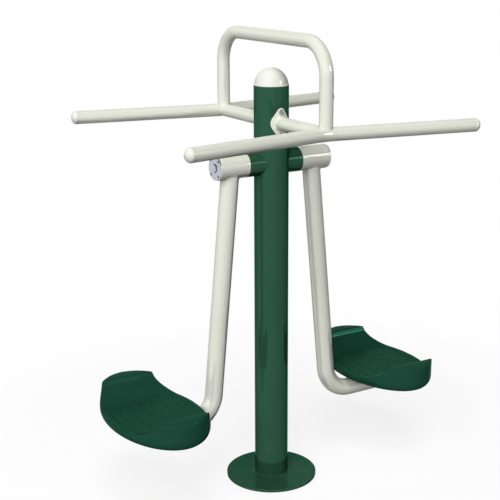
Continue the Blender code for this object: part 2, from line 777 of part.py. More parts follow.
def bar_clearance(turn):
    """The space that a handlebar needs, for cutting what joins it."""
    return moved(tube(bar_path(), BAR_RADIUS + GAP), Matrix.Rotation(turn, 4, "Z"))


def stub_path():
    """The back stub tube's centreline, from inside the saddle to the handlebar."""
    return [Vector((0, POST_RADIUS, BAR_HEIGHT)), Vector((0, BAR_OFFSET, BAR_HEIGHT))]


def stub_tube_mesh():
    """The stub tube, coped to the saddle and to the handlebar."""
    saddle = cylinder(SADDLE_OUTER + GAP, BAR_HEIGHT - SADDLE_HALF_HEIGHT,
                      BAR_HEIGHT + SADDLE_HALF_HEIGHT, POST_SIDES)
    return cut(pipe(stub_path(), BAR_RADIUS, BAR_WALL), saddle, bar_clearance(0))


def loop_mesh():
    """The overhead loop, its feet coped to both handlebars and both stub tubes."""
    corners = [(0, -BAR_OFFSET, BAR_HEIGHT), (0, -BAR_OFFSET, LOOP_HEIGHT),
               (0, BAR_OFFSET, LOOP_HEIGHT), (0, BAR_OFFSET, BAR_HEIGHT)]
    path = rounded_path(corners, LOOP_CORNER_RADIUS)
    half_turn = Matrix.Rotation(math.pi, 4, "Z")
    stub = extended(stub_path(), OVERRUN)
    tools = [bar_clearance(0), bar_clearance(math.pi), tube(stub, BAR_RADIUS + GAP),
             moved(tube(stub, BAR_RADIUS + GAP), half_turn)]
    return cut(pipe(path, BAR_RADIUS, BAR_WALL), *tools)


def saddle_outline():
    """The lozenge: a circle round the stub tube and a smaller one round each bolt."""
    lean = math.acos((SADDLE_HALF_WIDTH - SADDLE_TIP_RADIUS) / CLAMP_BOLT_RISE)
    points = []
    for way in (0, math.pi):
        up = way + math.pi / 2
        centre = (0, CLAMP_BOLT_RISE * math.cos(way))
        points += arc(SADDLE_TIP_RADIUS, up - lean, up + lean, BEND_STEPS, centre)
        points += arc(SADDLE_HALF_WIDTH, up + lean, up + math.pi - lean, BEND_STEPS)
    return points


def saddle_mesh():
    """The curved plate that spreads the stub tube's load on the post, drilled twice."""
    low = BAR_HEIGHT - SADDLE_HALF_HEIGHT - OVERRUN
    high = BAR_HEIGHT + SADDLE_HALF_HEIGHT + OVERRUN
    shell = cut(cylinder(SADDLE_OUTER, low, high, POST_SIDES),
                cylinder(SADDLE_INNER, low - OVERRUN, high + OVERRUN, POST_SIDES))
    place = Matrix.Translation((0, POST_RADIUS, BAR_HEIGHT)) @ X_TURN
    lozenge = prism(saddle_outline(), POST_RADIUS - SADDLE_THICKNESS, place)
    plate = combined(shell, [lozenge], "INTERSECT")
    holes = []
    for rise in (-CLAMP_BOLT_RISE, CLAMP_BOLT_RISE):
        place = Matrix.Translation((0, 0, BAR_HEIGHT + rise)) @ X_TURN
        holes.append(cylinder(CLAMP_BOLT_RADIUS + GAP, -SADDLE_OUTER - OVERRUN, 0, SMALL_SIDES, place))
    return cut(plate, *holes)


def clamp_bolt_mesh():
    """A round-headed bolt along Z through the post: its head is above."""
    top = CLAMP_SEAT + CLAMP_HEAD_HEIGHT
    tip = CLAMP_SEAT + CLAMP_NUT_HEX
    profile = [(0, top), (CLAMP_HEAD_RADIUS - CLAMP_HEAD_EDGE, top),
               (CLAMP_HEAD_RADIUS, top - CLAMP_HEAD_EDGE), (CLAMP_HEAD_RADIUS, CLAMP_SEAT),
               (CLAMP_BOLT_RADIUS, CLAMP_SEAT), (CLAMP_BOLT_RADIUS, -tip), (0, -tip)]
    body = turned(profile, SMALL_SIDES)
    socket = cylinder(CLAMP_SOCKET_RADIUS, top - CLAMP_SOCKET_DEPTH, top + OVERRUN, 6)
    return moved(cut(body, socket), X_TURN)


def clamp_nut_mesh():
    """The domed nut at the back, with a blind hole for the bolt's end."""
    start = CLAMP_SEAT
    hexagon_end = start + CLAMP_NUT_HEX
    corner = across_to_radius(CLAMP_NUT_ACROSS)
    body = cylinder(corner, start, hexagon_end, 6)
    radius = CLAMP_NUT_ACROSS / 2 - CLAMP_NUT_STEP
    dome = arc(radius, math.pi / 2, 0, DOME_STEPS, (0, hexagon_end), CLAMP_NUT_DOME / radius)
    dome[0] = (0, hexagon_end + CLAMP_NUT_DOME)
    middle = (start + hexagon_end) / 2
    crown = turned([*dome, (radius, middle), (0, middle)], SMALL_SIDES)
    hole = cylinder(CLAMP_BOLT_RADIUS + GAP, start - OVERRUN, hexagon_end + GAP, SMALL_SIDES)
    return moved(cut(joined(body, crown), hole), Matrix.Rotation(-math.pi / 2, 4, "X"))


# The whole object

def add_frame():
    """Foot plate, post, cap, cross tube, shaft and what is fixed on it."""
    add_part("base_plate", base_plate_mesh(), "green_paint")
    add_part("post", post_mesh(), "green_paint")
    add_part("post_cap", post_cap_mesh(), "cream_paint", location=(0, 0, POST_TOP + GAP))
    axle = (0, 0, AXLE_HEIGHT)
    add_part("cross_tube", cross_tube_mesh(), "green_paint", location=axle)
    add_part("axle_shaft", axle_shaft_mesh(), "bright_steel", location=axle)
    inboard = inner_race_mesh(INBOARD_BORE, INBOARD_OUTER, INBOARD_START, INBOARD_WIDTH)
    outboard = inner_race_mesh(OUTBOARD_BORE, OUTBOARD_OUTER, OUTBOARD_START, OUTBOARD_WIDTH)
    collar = shaft_collar_mesh()
    nut = axle_nut_mesh()
    for side, turn in SIDES.items():
        way = (0, 0, turn)
        add_part(f"{side}_shaft_collar", collar, "green_paint", location=axle, rotation=way)
        add_part(f"{side}_inboard_inner_race", inboard, "bright_steel", location=axle, rotation=way)
        add_part(f"{side}_outboard_inner_race", outboard, "bright_steel", location=axle, rotation=way)
        add_part(f"{side}_axle_nut", nut, "zinc_plate", location=axle, rotation=way)


def add_handrail():
    """Both handlebars, the overhead loop and what clamps them to the post."""
    bar = pipe(bar_path(), BAR_RADIUS, BAR_WALL)
    stub = stub_tube_mesh()
    saddle = saddle_mesh()
    cap = plug_mesh(BAR_RADIUS, BAR_WALL, BAR_CAP_CROWN, BAR_CAP_PLUG, BAR_CAP_WALL, TUBE_SIDES)
    out, length = bar_direction()
    tube_end = Vector((0, BAR_OFFSET, BAR_HEIGHT)) + out * (length - BAR_CAP_CROWN)
    lean = math.atan2(out.y, out.x)
    for end, turn in (("back", 0), ("front", math.pi)):
        way = (0, 0, turn)
        add_part(f"{end}_handlebar", bar, "cream_paint", rotation=way)
        add_part(f"{end}_stub_tube", stub, "cream_paint", rotation=way)
        add_part(f"{end}_saddle", saddle, "cream_paint", rotation=way)
        for mirror in (1, -1):
            side = "right" if mirror * math.cos(turn) > 0 else "left"
            place = Vector((mirror * tube_end.x, tube_end.y, tube_end.z))
            place.rotate(Matrix.Rotation(turn, 3, "Z"))
            heading = turn + (lean if mirror > 0 else math.pi - lean)
            add_part(f"{end}_{side}_bar_cap", cap, "cream_plastic", location=place,
                     rotation=(0, 0, heading))
    add_part("overhead_loop", loop_mesh(), "cream_paint")
    bolt = clamp_bolt_mesh()
    nut = clamp_nut_mesh()
    for level, rise in (("upper", CLAMP_BOLT_RISE), ("lower", -CLAMP_BOLT_RISE)):
        place = (0, 0, BAR_HEIGHT + rise)
        add_part(f"{level}_clamp_bolt", bolt, "zinc_plate", location=place)
        add_part(f"{level}_clamp_nut", nut, "zinc_plate", location=place)


def add_arms():
    """Both swinging arms, each on an empty on the swing axis."""
    inboard = (INBOARD_BORE, INBOARD_OUTER, INBOARD_START, INBOARD_WIDTH)
    outboard = (OUTBOARD_BORE, OUTBOARD_OUTER, OUTBOARD_START, OUTBOARD_WIDTH)
    pieces = {
        "bearing_housing": (bearing_housing_mesh(), "cream_paint"),
        "inboard_outer_race": (outer_race_mesh(*inboard), "bright_steel"),
        "outboard_outer_race": (outer_race_mesh(*outboard), "bright_steel"),
        "inboard_ball_cage": (ball_cage_mesh(*inboard), "bright_steel"),
        "outboard_ball_cage": (ball_cage_mesh(*outboard), "bright_steel"),
        "end_cover": (end_cover_mesh(), "zinc_plate"),
        "swing_arm": (swing_arm_mesh(), "cream_paint"),
        "pedal_bracket": (bracket_mesh(), "cream_paint"),
        "pedal": (pedal_mesh(), "green_plastic"),
    }
    plug = plug_mesh(ARM_RADIUS, ARM_WALL, ARM_PLUG_CROWN, ARM_PLUG_DEPTH, ARM_PLUG_WALL, TUBE_SIDES)
    screw = cover_screw_mesh()
    bolt = pedal_bolt_mesh()
    screw_seat = COVER_FACE - SCREW_HEAD_HEIGHT - SCREW_RECESS
    bolt_seat = BRACKET_BOTTOM - AXLE_HEIGHT - GAP
    for side, turn in SIDES.items():
        axis = make_axis(f"{side}_swing_axis", turn)
        for name, (mesh, finish) in pieces.items():
            add_part(f"{side}_{name}", mesh, finish, parent=axis)
        add_part(f"{side}_arm_plug", plug, "black_plastic", parent=axis,
                 location=(ARM_FOOT_END + GAP, 0, -ARM_DROP))
        for number, (across, up) in enumerate(screw_places(), start=1):
            add_part(f"{side}_cover_screw_{number}", screw, "dark_steel", parent=axis,
                     location=(screw_seat, across, up))
        for number, place in enumerate(pedal_bolt_places(), start=1):
            add_part(f"{side}_pedal_bolt_{number}", bolt, "zinc_plate", parent=axis,
                     location=(place[0], place[1], bolt_seat))


clear_scene()
PARTS = new_collection("surf_trainer")
CUTTERS = new_collection("cutters")
FINISHES = {
    "green_paint": make_material("green_paint", (0.026, 0.095, 0.052), 0.25, 0.0),
    "cream_paint": make_material("cream_paint", (0.79, 0.80, 0.71), 0.28, 0.0),
    "green_plastic": make_material("green_plastic", (0.013, 0.066, 0.042), 0.45, 0.0),
    "cream_plastic": make_material("cream_plastic", (0.85, 0.86, 0.77), 0.30, 0.0),
    "zinc_plate": make_material("zinc_plate", (0.52, 0.54, 0.58), 0.35, 1.0),
    "bright_steel": make_material("bright_steel", (0.60, 0.60, 0.60), 0.22, 1.0),
    "dark_steel": make_material("dark_steel", (0.06, 0.06, 0.065), 0.45, 1.0),
    "black_plastic": make_material("black_plastic", (0.02, 0.02, 0.022), 0.5, 0.0),
}
add_frame()
add_handrail()
add_arms()
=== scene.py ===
# %% [markdown]
# # An outdoor surf trainer
# Two people stand on two pedals that hang from a post and swing forwards and back.
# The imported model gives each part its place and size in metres. This lesson dresses
# that model: it rounds what the solids leave faceted, adds the welds, studs and screws,
# and gives every surface its finish.

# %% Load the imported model
import math

import bmesh
import bpy
from mathutils import Matrix, Vector


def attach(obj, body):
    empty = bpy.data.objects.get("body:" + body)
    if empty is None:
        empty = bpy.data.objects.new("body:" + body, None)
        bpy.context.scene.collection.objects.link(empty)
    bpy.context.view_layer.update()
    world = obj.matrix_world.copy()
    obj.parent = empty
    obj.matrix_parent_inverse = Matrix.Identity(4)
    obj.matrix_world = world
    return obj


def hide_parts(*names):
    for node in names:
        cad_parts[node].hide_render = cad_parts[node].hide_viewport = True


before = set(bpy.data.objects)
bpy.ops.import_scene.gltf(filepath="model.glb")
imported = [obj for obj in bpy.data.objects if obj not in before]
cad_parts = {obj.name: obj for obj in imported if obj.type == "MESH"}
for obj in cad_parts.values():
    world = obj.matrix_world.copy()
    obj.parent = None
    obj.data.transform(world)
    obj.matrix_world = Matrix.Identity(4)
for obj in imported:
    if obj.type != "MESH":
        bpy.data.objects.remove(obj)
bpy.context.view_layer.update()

# %% [markdown]
# ## One call for any node
# Shaders and Geometry Nodes are both node trees. A tree could be wired with long lists
# of names, but it reads better when one call adds a node with its settings and inputs,
# and when a socket can be added and multiplied like a number.

# %% Wire nodes together
def adjusted(thing, **settings):
    """Something of Blender's, with its settings changed."""
    for setting, value in settings.items():
        setattr(thing, setting, value)
    return thing


def operator(operation, swapped=False):
    """A method that adds a Math node for one of Python's operators."""
    def method(self, other):
        first, second = (other, self) if swapped else (self, other)
        return self.wiring.maths(operation, first, second)
    return method


class Value:
    """One output socket, on which Python's own operators add Math nodes."""

    __add__ = __radd__ = operator("ADD")
    __mul__ = __rmul__ = operator("MULTIPLY")
    __sub__ = operator("SUBTRACT")
    __rsub__ = operator("SUBTRACT", swapped=True)
    __truediv__ = operator("DIVIDE")
    __pow__ = operator("POWER")

    def __init__(self, wiring, socket):
        self.wiring = wiring
        self.socket = socket


class Wiring:
    """A node tree, to which one call adds a node."""

    def __init__(self, tree):
        self.tree = tree

    def node(self, kind, inputs=None, output=0, **settings):
        """Adds a node, sets it up, feeds its inputs and gives one of its outputs."""
        made = adjusted(self.tree.nodes.new(kind), **settings)
        for socket, value in (inputs or {}).items():
            self.feed(made.inputs[socket], value)
        return Value(self, made.outputs[output])

    def maths(self, operation, *values):
        """Adds a Math node on numbers or values."""
        return self.node("ShaderNodeMath", dict(enumerate(values)), operation=operation)

    def axis(self, place, name):
        """One coordinate of a place."""
        return self.node("ShaderNodeSeparateXYZ", {0: place}, output=name)

    def length(self, vector):
        """How long a vector is."""
        return self.node("ShaderNodeVectorMath", {0: vector}, output="Value", operation="LENGTH")

    def mask(self, value, low, high):
        """0 below low, 1 above high and a smooth step between them."""
        inputs = {"Value": value, "From Min": low, "From Max": high}
        return self.node("ShaderNodeMapRange", inputs, interpolation_type="SMOOTHSTEP")

    def feed(self, socket, value):
        """Links a value to a socket, or sets a plain number or colour on it."""
        if isinstance(value, Value):
            self.tree.links.new(value.socket, socket)
        else:
            socket.default_value = value


# %% [markdown]
# ## A finish that every material starts from
# Each finish is one Principled shader. A number that is the same all over goes straight
# on the shader, and only what changes over the surface is wired. The patterns read the
# Object coordinates, so they are in metres and stay still when the camera moves.

# %% Start a material
class Finish(Wiring):
    """A material with one Principled shader."""

    def __init__(self, name, **plain):
        self.material = adjusted(bpy.data.materials.new(name), use_nodes=True)
        super().__init__(self.material.node_tree)
        self.shader = self.tree.nodes["Principled BSDF"]
        for socket, value in plain.items():
            self.shader.inputs[socket.replace("_", " ")].default_value = value
        self.place = self.node("ShaderNodeTexCoord", output="Object")

    def noise(self, scale, detail=2.0, place=None):
        """Soft noise from 0 to 1, with its scale in features to the metre."""
        inputs = {"Vector": place or self.place, "Scale": scale, "Detail": detail}
        return self.node("ShaderNodeTexNoise", inputs)

    def stretched(self, scale):
        """The place, with each axis scaled on its own."""
        return self.node("ShaderNodeMapping", {"Vector": self.place, "Scale": scale})

    def mix(self, share, first, second):
        """One colour turning into another."""
        inputs = {0: share, 6: first, 7: second}
        return self.node("ShaderNodeMix", inputs, output=2, data_type="RGBA")

    def drifting(self, share, colour, low, high):
        """A colour that drifts between a darker and a lighter tint."""
        return self.mix(share, tint(colour, low), tint(colour, high))

    def finish(self, colour, roughness, relief, depth):
        """Wires what changes over the surface to the shader."""
        inputs = {"Strength": 1.0, "Distance": depth, "Height": relief}
        bump = self.node("ShaderNodeBump", inputs)
        for socket, value in (("Base Color", colour), ("Roughness", roughness), ("Normal", bump)):
            self.feed(self.shader.inputs[socket], value)
        print("finish:", self.material.name, len(self.tree.nodes), "nodes")
        return self.material


def tint(colour, share):
    """A colour made lighter or darker by a share, with its alpha."""
    return (*[channel * share for channel in colour], 1.0)


# %% [markdown]
# ## Enamel on steel
# The post and the rails are steel tube under thick, glossy, baked enamel. Its reflections
# are faint but sharp, they take the paint's own colour, and they don't whiten towards
# the edges. A share of Metallic gives that, with a dim Specular Tint, which holds the
# edges back. A flat colour would look like plastic, so the colour drifts a little, the
# gloss is uneven, a faint orange peel bends the reflections, and dust lies near the ground.

# %% Green and cream enamel
GREEN = (0.030, 0.102, 0.060)
CREAM = (0.790, 0.800, 0.705)
DUST = (0.330, 0.300, 0.240, 1.0)
GREEN_MIRROR = 0.36
CREAM_MIRROR = 0.18
GREEN_EDGE = (0.26, 0.44, 0.40, 1.0)
CREAM_EDGE = (0.6, 0.6, 0.6, 1.0)
COATING_IOR = 1.04
DRIFT_RANGE = (0.96, 1.04)
RUB_RANGE = (0.62, 0.80)
DUST_RANGE = (0.38, 0.78)
DUST_TOP = 0.30
PEEL_DEPTH = 0.00002


def enamel(name, colour, mirror_share, edge, roughness, dust_share):
    """Glossy baked enamel."""
    paint = Finish(name, Metallic=mirror_share, IOR=COATING_IOR, Specular_Tint=edge)
    body = paint.drifting(paint.noise(2.3, detail=3.0), colour, *DRIFT_RANGE)
    speck = paint.noise(160.0)
    rub = paint.mask(paint.noise(46.0, place=paint.stretched((1.0, 1.0, 0.12))), *RUB_RANGE)
    low = 1.0 - paint.mask(paint.axis(paint.place, "Z"), 0.0, DUST_TOP)
    dust = low * paint.mask(paint.noise(17.0, detail=5.0), *DUST_RANGE) * dust_share
    body = paint.mix(dust, body, DUST)
    gloss = roughness + speck * 0.05 + rub * 0.06 + dust * 0.5
    peel = paint.noise(210.0, detail=1.0) * 0.7 + paint.noise(620.0, detail=1.0) * 0.3
    return paint.finish(body, gloss, peel, PEEL_DEPTH)


green_enamel = enamel("green_enamel", GREEN, GREEN_MIRROR, GREEN_EDGE, 0.05, 0.06)
cream_enamel = enamel("cream_enamel", CREAM, CREAM_MIRROR, CREAM_EDGE, 0.06, 0.05)

# %% [markdown]
# ## Moulded plastic
# The pedals are a tough moulding with a fine grain that takes the shine off, and the
# caps are smoother. Shoes scuff the pedals, which shows as faint pale rubs along the
# way that the feet slide on.

# %% Green and cream mouldings
GREEN_PLASTIC = (0.014, 0.072, 0.046)
CREAM_PLASTIC = (0.790, 0.800, 0.730)
BLACK_PLASTIC = (0.018, 0.018, 0.020)
CAP_MIRROR = 0.12
SCUFF_TINT = 2.2
SCUFF_RANGE = (0.58, 0.80)
PATCH_RANGE = (0.45, 0.70)


def moulding(name, colour, mirror_share, edge, roughness, grain, scuff_share):
    """Moulded plastic with a fine grain and scuffs."""
    plastic = Finish(name, Metallic=mirror_share, IOR=COATING_IOR, Specular_Tint=edge)
    body = plastic.drifting(plastic.noise(5.0, detail=3.0), colour, *DRIFT_RANGE)
    streak = plastic.noise(90.0, detail=3.0, place=plastic.stretched((1.0, 0.10, 0.5)))
    patch = plastic.mask(plastic.noise(14.0), *PATCH_RANGE)
    scuff = plastic.mask(streak, *SCUFF_RANGE) * patch * scuff_share
    body = plastic.mix(scuff, body, tint(colour, SCUFF_TINT))
    fine = plastic.noise(950.0)
    gloss = roughness + fine * 0.08 + scuff * 0.3
    return plastic.finish(body, gloss, fine + streak * 0.3, grain)


green_moulding = moulding("green_moulding", GREEN_PLASTIC, GREEN_MIRROR, GREEN_EDGE,
                          roughness=0.20, grain=0.00003, scuff_share=0.12)
cream_moulding = moulding("cream_moulding", CREAM_PLASTIC, CAP_MIRROR, CREAM_EDGE,
                          roughness=0.10, grain=0.00002, scuff_share=0.05)
black_moulding = moulding("black_moulding", BLACK_PLASTIC, GREEN_MIRROR, GREEN_EDGE,
                          roughness=0.40, grain=0.00010, scuff_share=0.20)

# %% [markdown]
# ## Bare metal
# The end covers are turned on a lathe, so their fine lines run round the axle. Bolts
# and screws are plated and only mottled. The same function makes both: the pattern is
# noise, read either along the distance from the axle or straight from the place.

# %% Plated, turned and blackened steel
AXLE_HEIGHT = 1.105
METAL_DEPTH = 0.00003
METAL_RANGE = (0.84, 1.12)


def metal(name, colour, roughness, turned=False):
    """Bare metal, turned on a lathe or mottled."""
    steel = Finish(name, Metallic=1.0)
    if turned:
        inputs = {"Vector": steel.place, "Location": (0, 0, -AXLE_HEIGHT)}
        centred = steel.node("ShaderNodeMapping", inputs)
        flat = steel.node("ShaderNodeVectorMath", {0: centred, 1: (0, 1, 1)}, operation="MULTIPLY")
        line = steel.node("ShaderNodeCombineXYZ", {0: steel.length(flat)})
        pattern = steel.noise(2600.0, place=line)
    else:
        pattern = steel.noise(380.0, detail=3.0)
    cloud = steel.noise(55.0)
    body = steel.drifting(cloud * 0.6 + pattern * 0.4, colour, *METAL_RANGE)
    gloss = roughness + pattern * 0.12 + cloud * 0.06
    return steel.finish(body, gloss, pattern, METAL_DEPTH)


zinc = metal("zinc_plate_finish", (0.38, 0.40, 0.43), 0.20)
turned_steel = metal("turned_cover", (0.56, 0.58, 0.62), 0.30, turned=True)
bright_steel = metal("bright_steel_finish", (0.60, 0.60, 0.60), 0.18)
dark_steel = metal("dark_steel_finish", (0.10, 0.10, 0.11), 0.38)

# %% [markdown]
# ## Pieces, and what they stand for
# A finished piece is a plain mesh that rides on one body of the model, takes its finish
# from one slot of the record, and stands for the faceted solids that it covers. The
# object is the same turned about the post by half a turn, so most pieces are made once
# and copied to the other side or end.

# %% Add a piece
FINISHES = {"green_paint": green_enamel, "cream_paint": cream_enamel, "zinc_plate": zinc,
            "green_plastic": green_moulding, "cream_plastic": cream_moulding,
            "black_plastic": black_moulding, "dark_steel": dark_steel}
SIDES = {"left": math.pi, "right": 0.0}
ENDS = {"back": 0.0, "front": math.pi}
ARM = "{}_arm"
MERGE_DISTANCE = 0.000002
FLAT_DISTANCE = 0.000001


def new_object(name, data):
    """A new object in the scene."""
    thing = bpy.data.objects.new(name, data)
    bpy.context.scene.collection.objects.link(thing)
    return thing


def add_piece(name, mesh, body, slot, *nodes, finish=None):
    """Links a mesh as a piece of the object."""
    if not mesh.materials:
        mesh.materials.append(finish or FINISHES[slot])
    piece = new_object(name, mesh)
    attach(piece, body)
    if nodes:
        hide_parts(*nodes)
    low, high = (Vector(corner) for corner in (piece.bound_box[0], piece.bound_box[6]))
    print(name, len(mesh.polygons), "faces,", [round(size, 4) for size in high - low])


def add_copies(places, kind, mesh, slot, *nodes, body="frame", finish=None):
    """A copy of a mesh for each side or end, turned about the post."""
    for place, angle in places.items():
        copy = mesh.copy()
        copy.transform(Matrix.Rotation(angle, 4, "Z"))
        add_piece(f"{place}_{kind}", copy, body.format(place), slot,
                  *[f"{place}_{node}" for node in nodes], finish=finish)


def closed_mesh(name, shape, turn=None):
    """Turns a bmesh into a mesh: no doubles, faces outwards, smooth."""
    bmesh.ops.remove_doubles(shape, verts=shape.verts, dist=MERGE_DISTANCE)
    bmesh.ops.dissolve_degenerate(shape, edges=shape.edges, dist=FLAT_DISTANCE)
    bmesh.ops.recalc_face_normals(shape, faces=shape.faces)
    if turn is not None:
        bmesh.ops.transform(shape, matrix=turn, verts=shape.verts)
    for face in shape.faces:
        face.smooth = True
    mesh = bpy.data.meshes.new(name)
    shape.to_mesh(mesh)
    shape.free()
    return mesh


def closed_copy(name, meshes, turn=None):
    """Some meshes put together as one closed mesh."""
    shape = bmesh.new()
    for mesh in meshes:
        shape.from_mesh(mesh)
    return closed_mesh(name, shape, turn)


# %% [markdown]
# ## Turned shapes
# The post, its cap, the foot plate and the bearing housings are round, so each is a
# profile turned about an axis, and its mesh is a skin through rings of points. Real edges
# are never sharp: a profile is written as corners with a rounding each, and a point just
# beside each rounding keeps the flat faces flat when the mesh is shaded smooth.

# %% Round a profile and turn it
QUARTER = math.pi / 2
ALONG_X = Matrix.Rotation(QUARTER, 4, "Y")
ALONG_Y = Matrix.Rotation(-QUARTER, 4, "X")
ROUND_STEPS = 5
SUPPORT_SHARE = 0.35
ON_AXIS = 0.000001
POST_STEPS = 128


def arc(start, sweep, steps):
    """The cosine and the sine of each angle along an arc."""
    angles = [start + sweep * step / steps for step in range(steps + 1)]
    return [(math.cos(angle), math.sin(angle)) for angle in angles]


def circle(steps, start=0.0):
    """The cosine and the sine of each angle once round."""
    return arc(start, math.tau, steps)[:-1]


def rounded_profile(corners, steps=ROUND_STEPS):
    """Corners of radius, height and rounding, turned into a smooth line."""
    points = []
    for before, (across, up, rounding), after in zip(corners, corners[1:], corners[2:]):
        here = Vector((across, up))
        back = (Vector(before[:2]) - here).normalized()
        ahead = (Vector(after[:2]) - here).normalized()
        half = back.angle(ahead) / 2
        centre = here + (back + ahead).normalized() * (rounding / math.sin(half))
        reach = rounding / math.tan(half)
        start = here + back * reach - centre
        end = here + ahead * reach - centre
        sweep = math.pi - 2 * half
        points.append(centre + start + back * rounding * SUPPORT_SHARE)
        for step in range(steps + 1):
            share = step / steps
            first = math.sin((1 - share) * sweep) / math.sin(sweep)
            last = math.sin(share * sweep) / math.sin(sweep)
            points.append(centre + start * first + end * last)
        points.append(centre + end + ahead * rounding * SUPPORT_SHARE)
    return [Vector(corners[0][:2]), *points, Vector(corners[-1][:2])]


def skinned(name, rings, capped=False, turn=None):
    """A mesh through closed rings of points, one after another. A ring may be one point."""
    shape = bmesh.new()
    rows = [[shape.verts.new(point) for point in ring] for ring in rings]
    for first, second in zip(rows, rows[1:]):
        for step in range(max(len(first), len(second))):
            places = ((first, step), (first, step + 1), (second, step + 1), (second, step))
            shape.faces.new(list(dict.fromkeys(row[place % len(row)] for row, place in places)))
    if capped:
        shape.faces.new(rows[0])
        shape.faces.new(rows[-1])
    return closed_mesh(name, shape, turn)


def lathe(name, profile, steps, turn=None):
    """Turns a profile about Z: it starts and ends on the axis, or runs round a ring."""
    rings = [[(radius * across, radius * along, height)
              for across, along in circle(1 if radius < ON_AXIS else steps)]
             for radius, height in profile]
    if len(rings[0]) > 1:
        rings.append(rings[0])
    return skinned(name, rings, turn=turn)


def round_bar(name, radius, low, high, edges, steps=POST_STEPS, turn=None, bends=ROUND_STEPS):
    """A solid bar, plate or head, with its lower and its upper edge rounded."""
    corners = [(0, high, 0), (radius, high, edges[1]), (radius, low, edges[0]), (0, low, 0)]
    return lathe(name, rounded_profile(corners, bends), steps, turn)


# %% [markdown]
# ## Foot plate, post and cap
# The post is a 114 mm tube that stands on a round foot plate. The cap has a narrow rim,
# flush with the tube, and a crown that is set in from it by 2 mm.

# %% Turn the foot plate and the post
BASE_RADIUS = 0.155
BASE_THICKNESS = 0.010
BASE_EDGES = (0.0005, 0.0015)
POST_RADIUS = 0.057
POST_TOP = 1.353
POST_EDGES = (0.0002, 0.0006)
GAP = 0.0003

base = round_bar("foot_plate", BASE_RADIUS, 0, BASE_THICKNESS, BASE_EDGES)
add_piece("foot_plate", base, "frame", "green_paint", "base_plate")
post = round_bar("post_tube", POST_RADIUS, BASE_THICKNESS, POST_TOP, POST_EDGES)
add_piece("post_tube", post, "frame", "green_paint", "post")

# %% Turn the cap
CAP_RIM = 0.004
CAP_EDGES = (0.0003, 0.0007)
CAP_INSET = 0.002
CAP_HEIGHT = 0.056
CROWN_STEPS = 24


def cap_profile():
    """The cap's outside, from its top down, and its flat underside."""
    shoulder = math.asin(CAP_RIM / CAP_HEIGHT)
    crown = [((POST_RADIUS - CAP_INSET) * across, CAP_HEIGHT * up)
             for across, up in arc(QUARTER, shoulder - QUARTER, CROWN_STEPS)]
    rim = rounded_profile([(*crown[-1], 0), (POST_RADIUS, CAP_RIM, CAP_EDGES[1]),
                           (POST_RADIUS, 0, CAP_EDGES[0]), (0, 0, 0)])
    return [(0, CAP_HEIGHT), *crown[1:], *rim[1:]]


cap_place = Matrix.Translation((0, 0, POST_TOP + GAP))
cap = lathe("post_dome", cap_profile(), POST_STEPS, cap_place)
add_piece("post_dome", cap, "frame", "cream_plastic", "post_cap")

# %% [markdown]
# ## Cross tube and bearing housings
# A green tube goes through the post. On each end of it turns a cream housing with two
# ball bearings inside. The running gap between them is what lets the arm swing, so it
# stays open. The housing's edges are broken by a small radius.

# %% Turn the cross tube and the housings
HEAD_RADIUS = 0.0405
CROSS_TUBE_HALF_LENGTH = 0.098
CROSS_TUBE_EDGES = (0.0010, 0.0010)
HOUSING_START = 0.0997
HOUSING_END = 0.2052
HOUSING_BORE = 0.0313
HOUSING_ROUNDING = 0.0022
BORE_DEPTH = 0.03
BORE_ROUNDING = 0.0005

to_axle = Matrix.Translation((0, 0, AXLE_HEIGHT)) @ ALONG_X
cross = round_bar("cross_tube_skin", HEAD_RADIUS, -CROSS_TUBE_HALF_LENGTH,
                  CROSS_TUBE_HALF_LENGTH, CROSS_TUBE_EDGES, turn=to_axle)
add_piece("cross_tube_skin", cross, "frame", "green_paint", "cross_tube")

housing_ring = [(HOUSING_BORE, HOUSING_START + BORE_DEPTH, 0),
                (HOUSING_BORE, HOUSING_START, BORE_ROUNDING),
                (HEAD_RADIUS, HOUSING_START, HOUSING_ROUNDING),
                (HEAD_RADIUS, HOUSING_END, HOUSING_ROUNDING / 2),
                (HOUSING_BORE, HOUSING_END, BORE_ROUNDING),
                (HOUSING_BORE, HOUSING_END - BORE_DEPTH, 0)]
housing = lathe("housing", rounded_profile(housing_ring), POST_STEPS, to_axle)
add_copies(SIDES, "housing", housing, "cream_paint", "bearing_housing", body=ARM)

# %% [markdown]
# ## Tubes that follow a path
# The arms, the handlebars, the stub tubes and the overhead loop are all bent tube. In
# Geometry Nodes a tube is a rule: take a line through a few corners, round each corner,
# and sweep a circle along it. One tree makes them all, and only its inputs change.

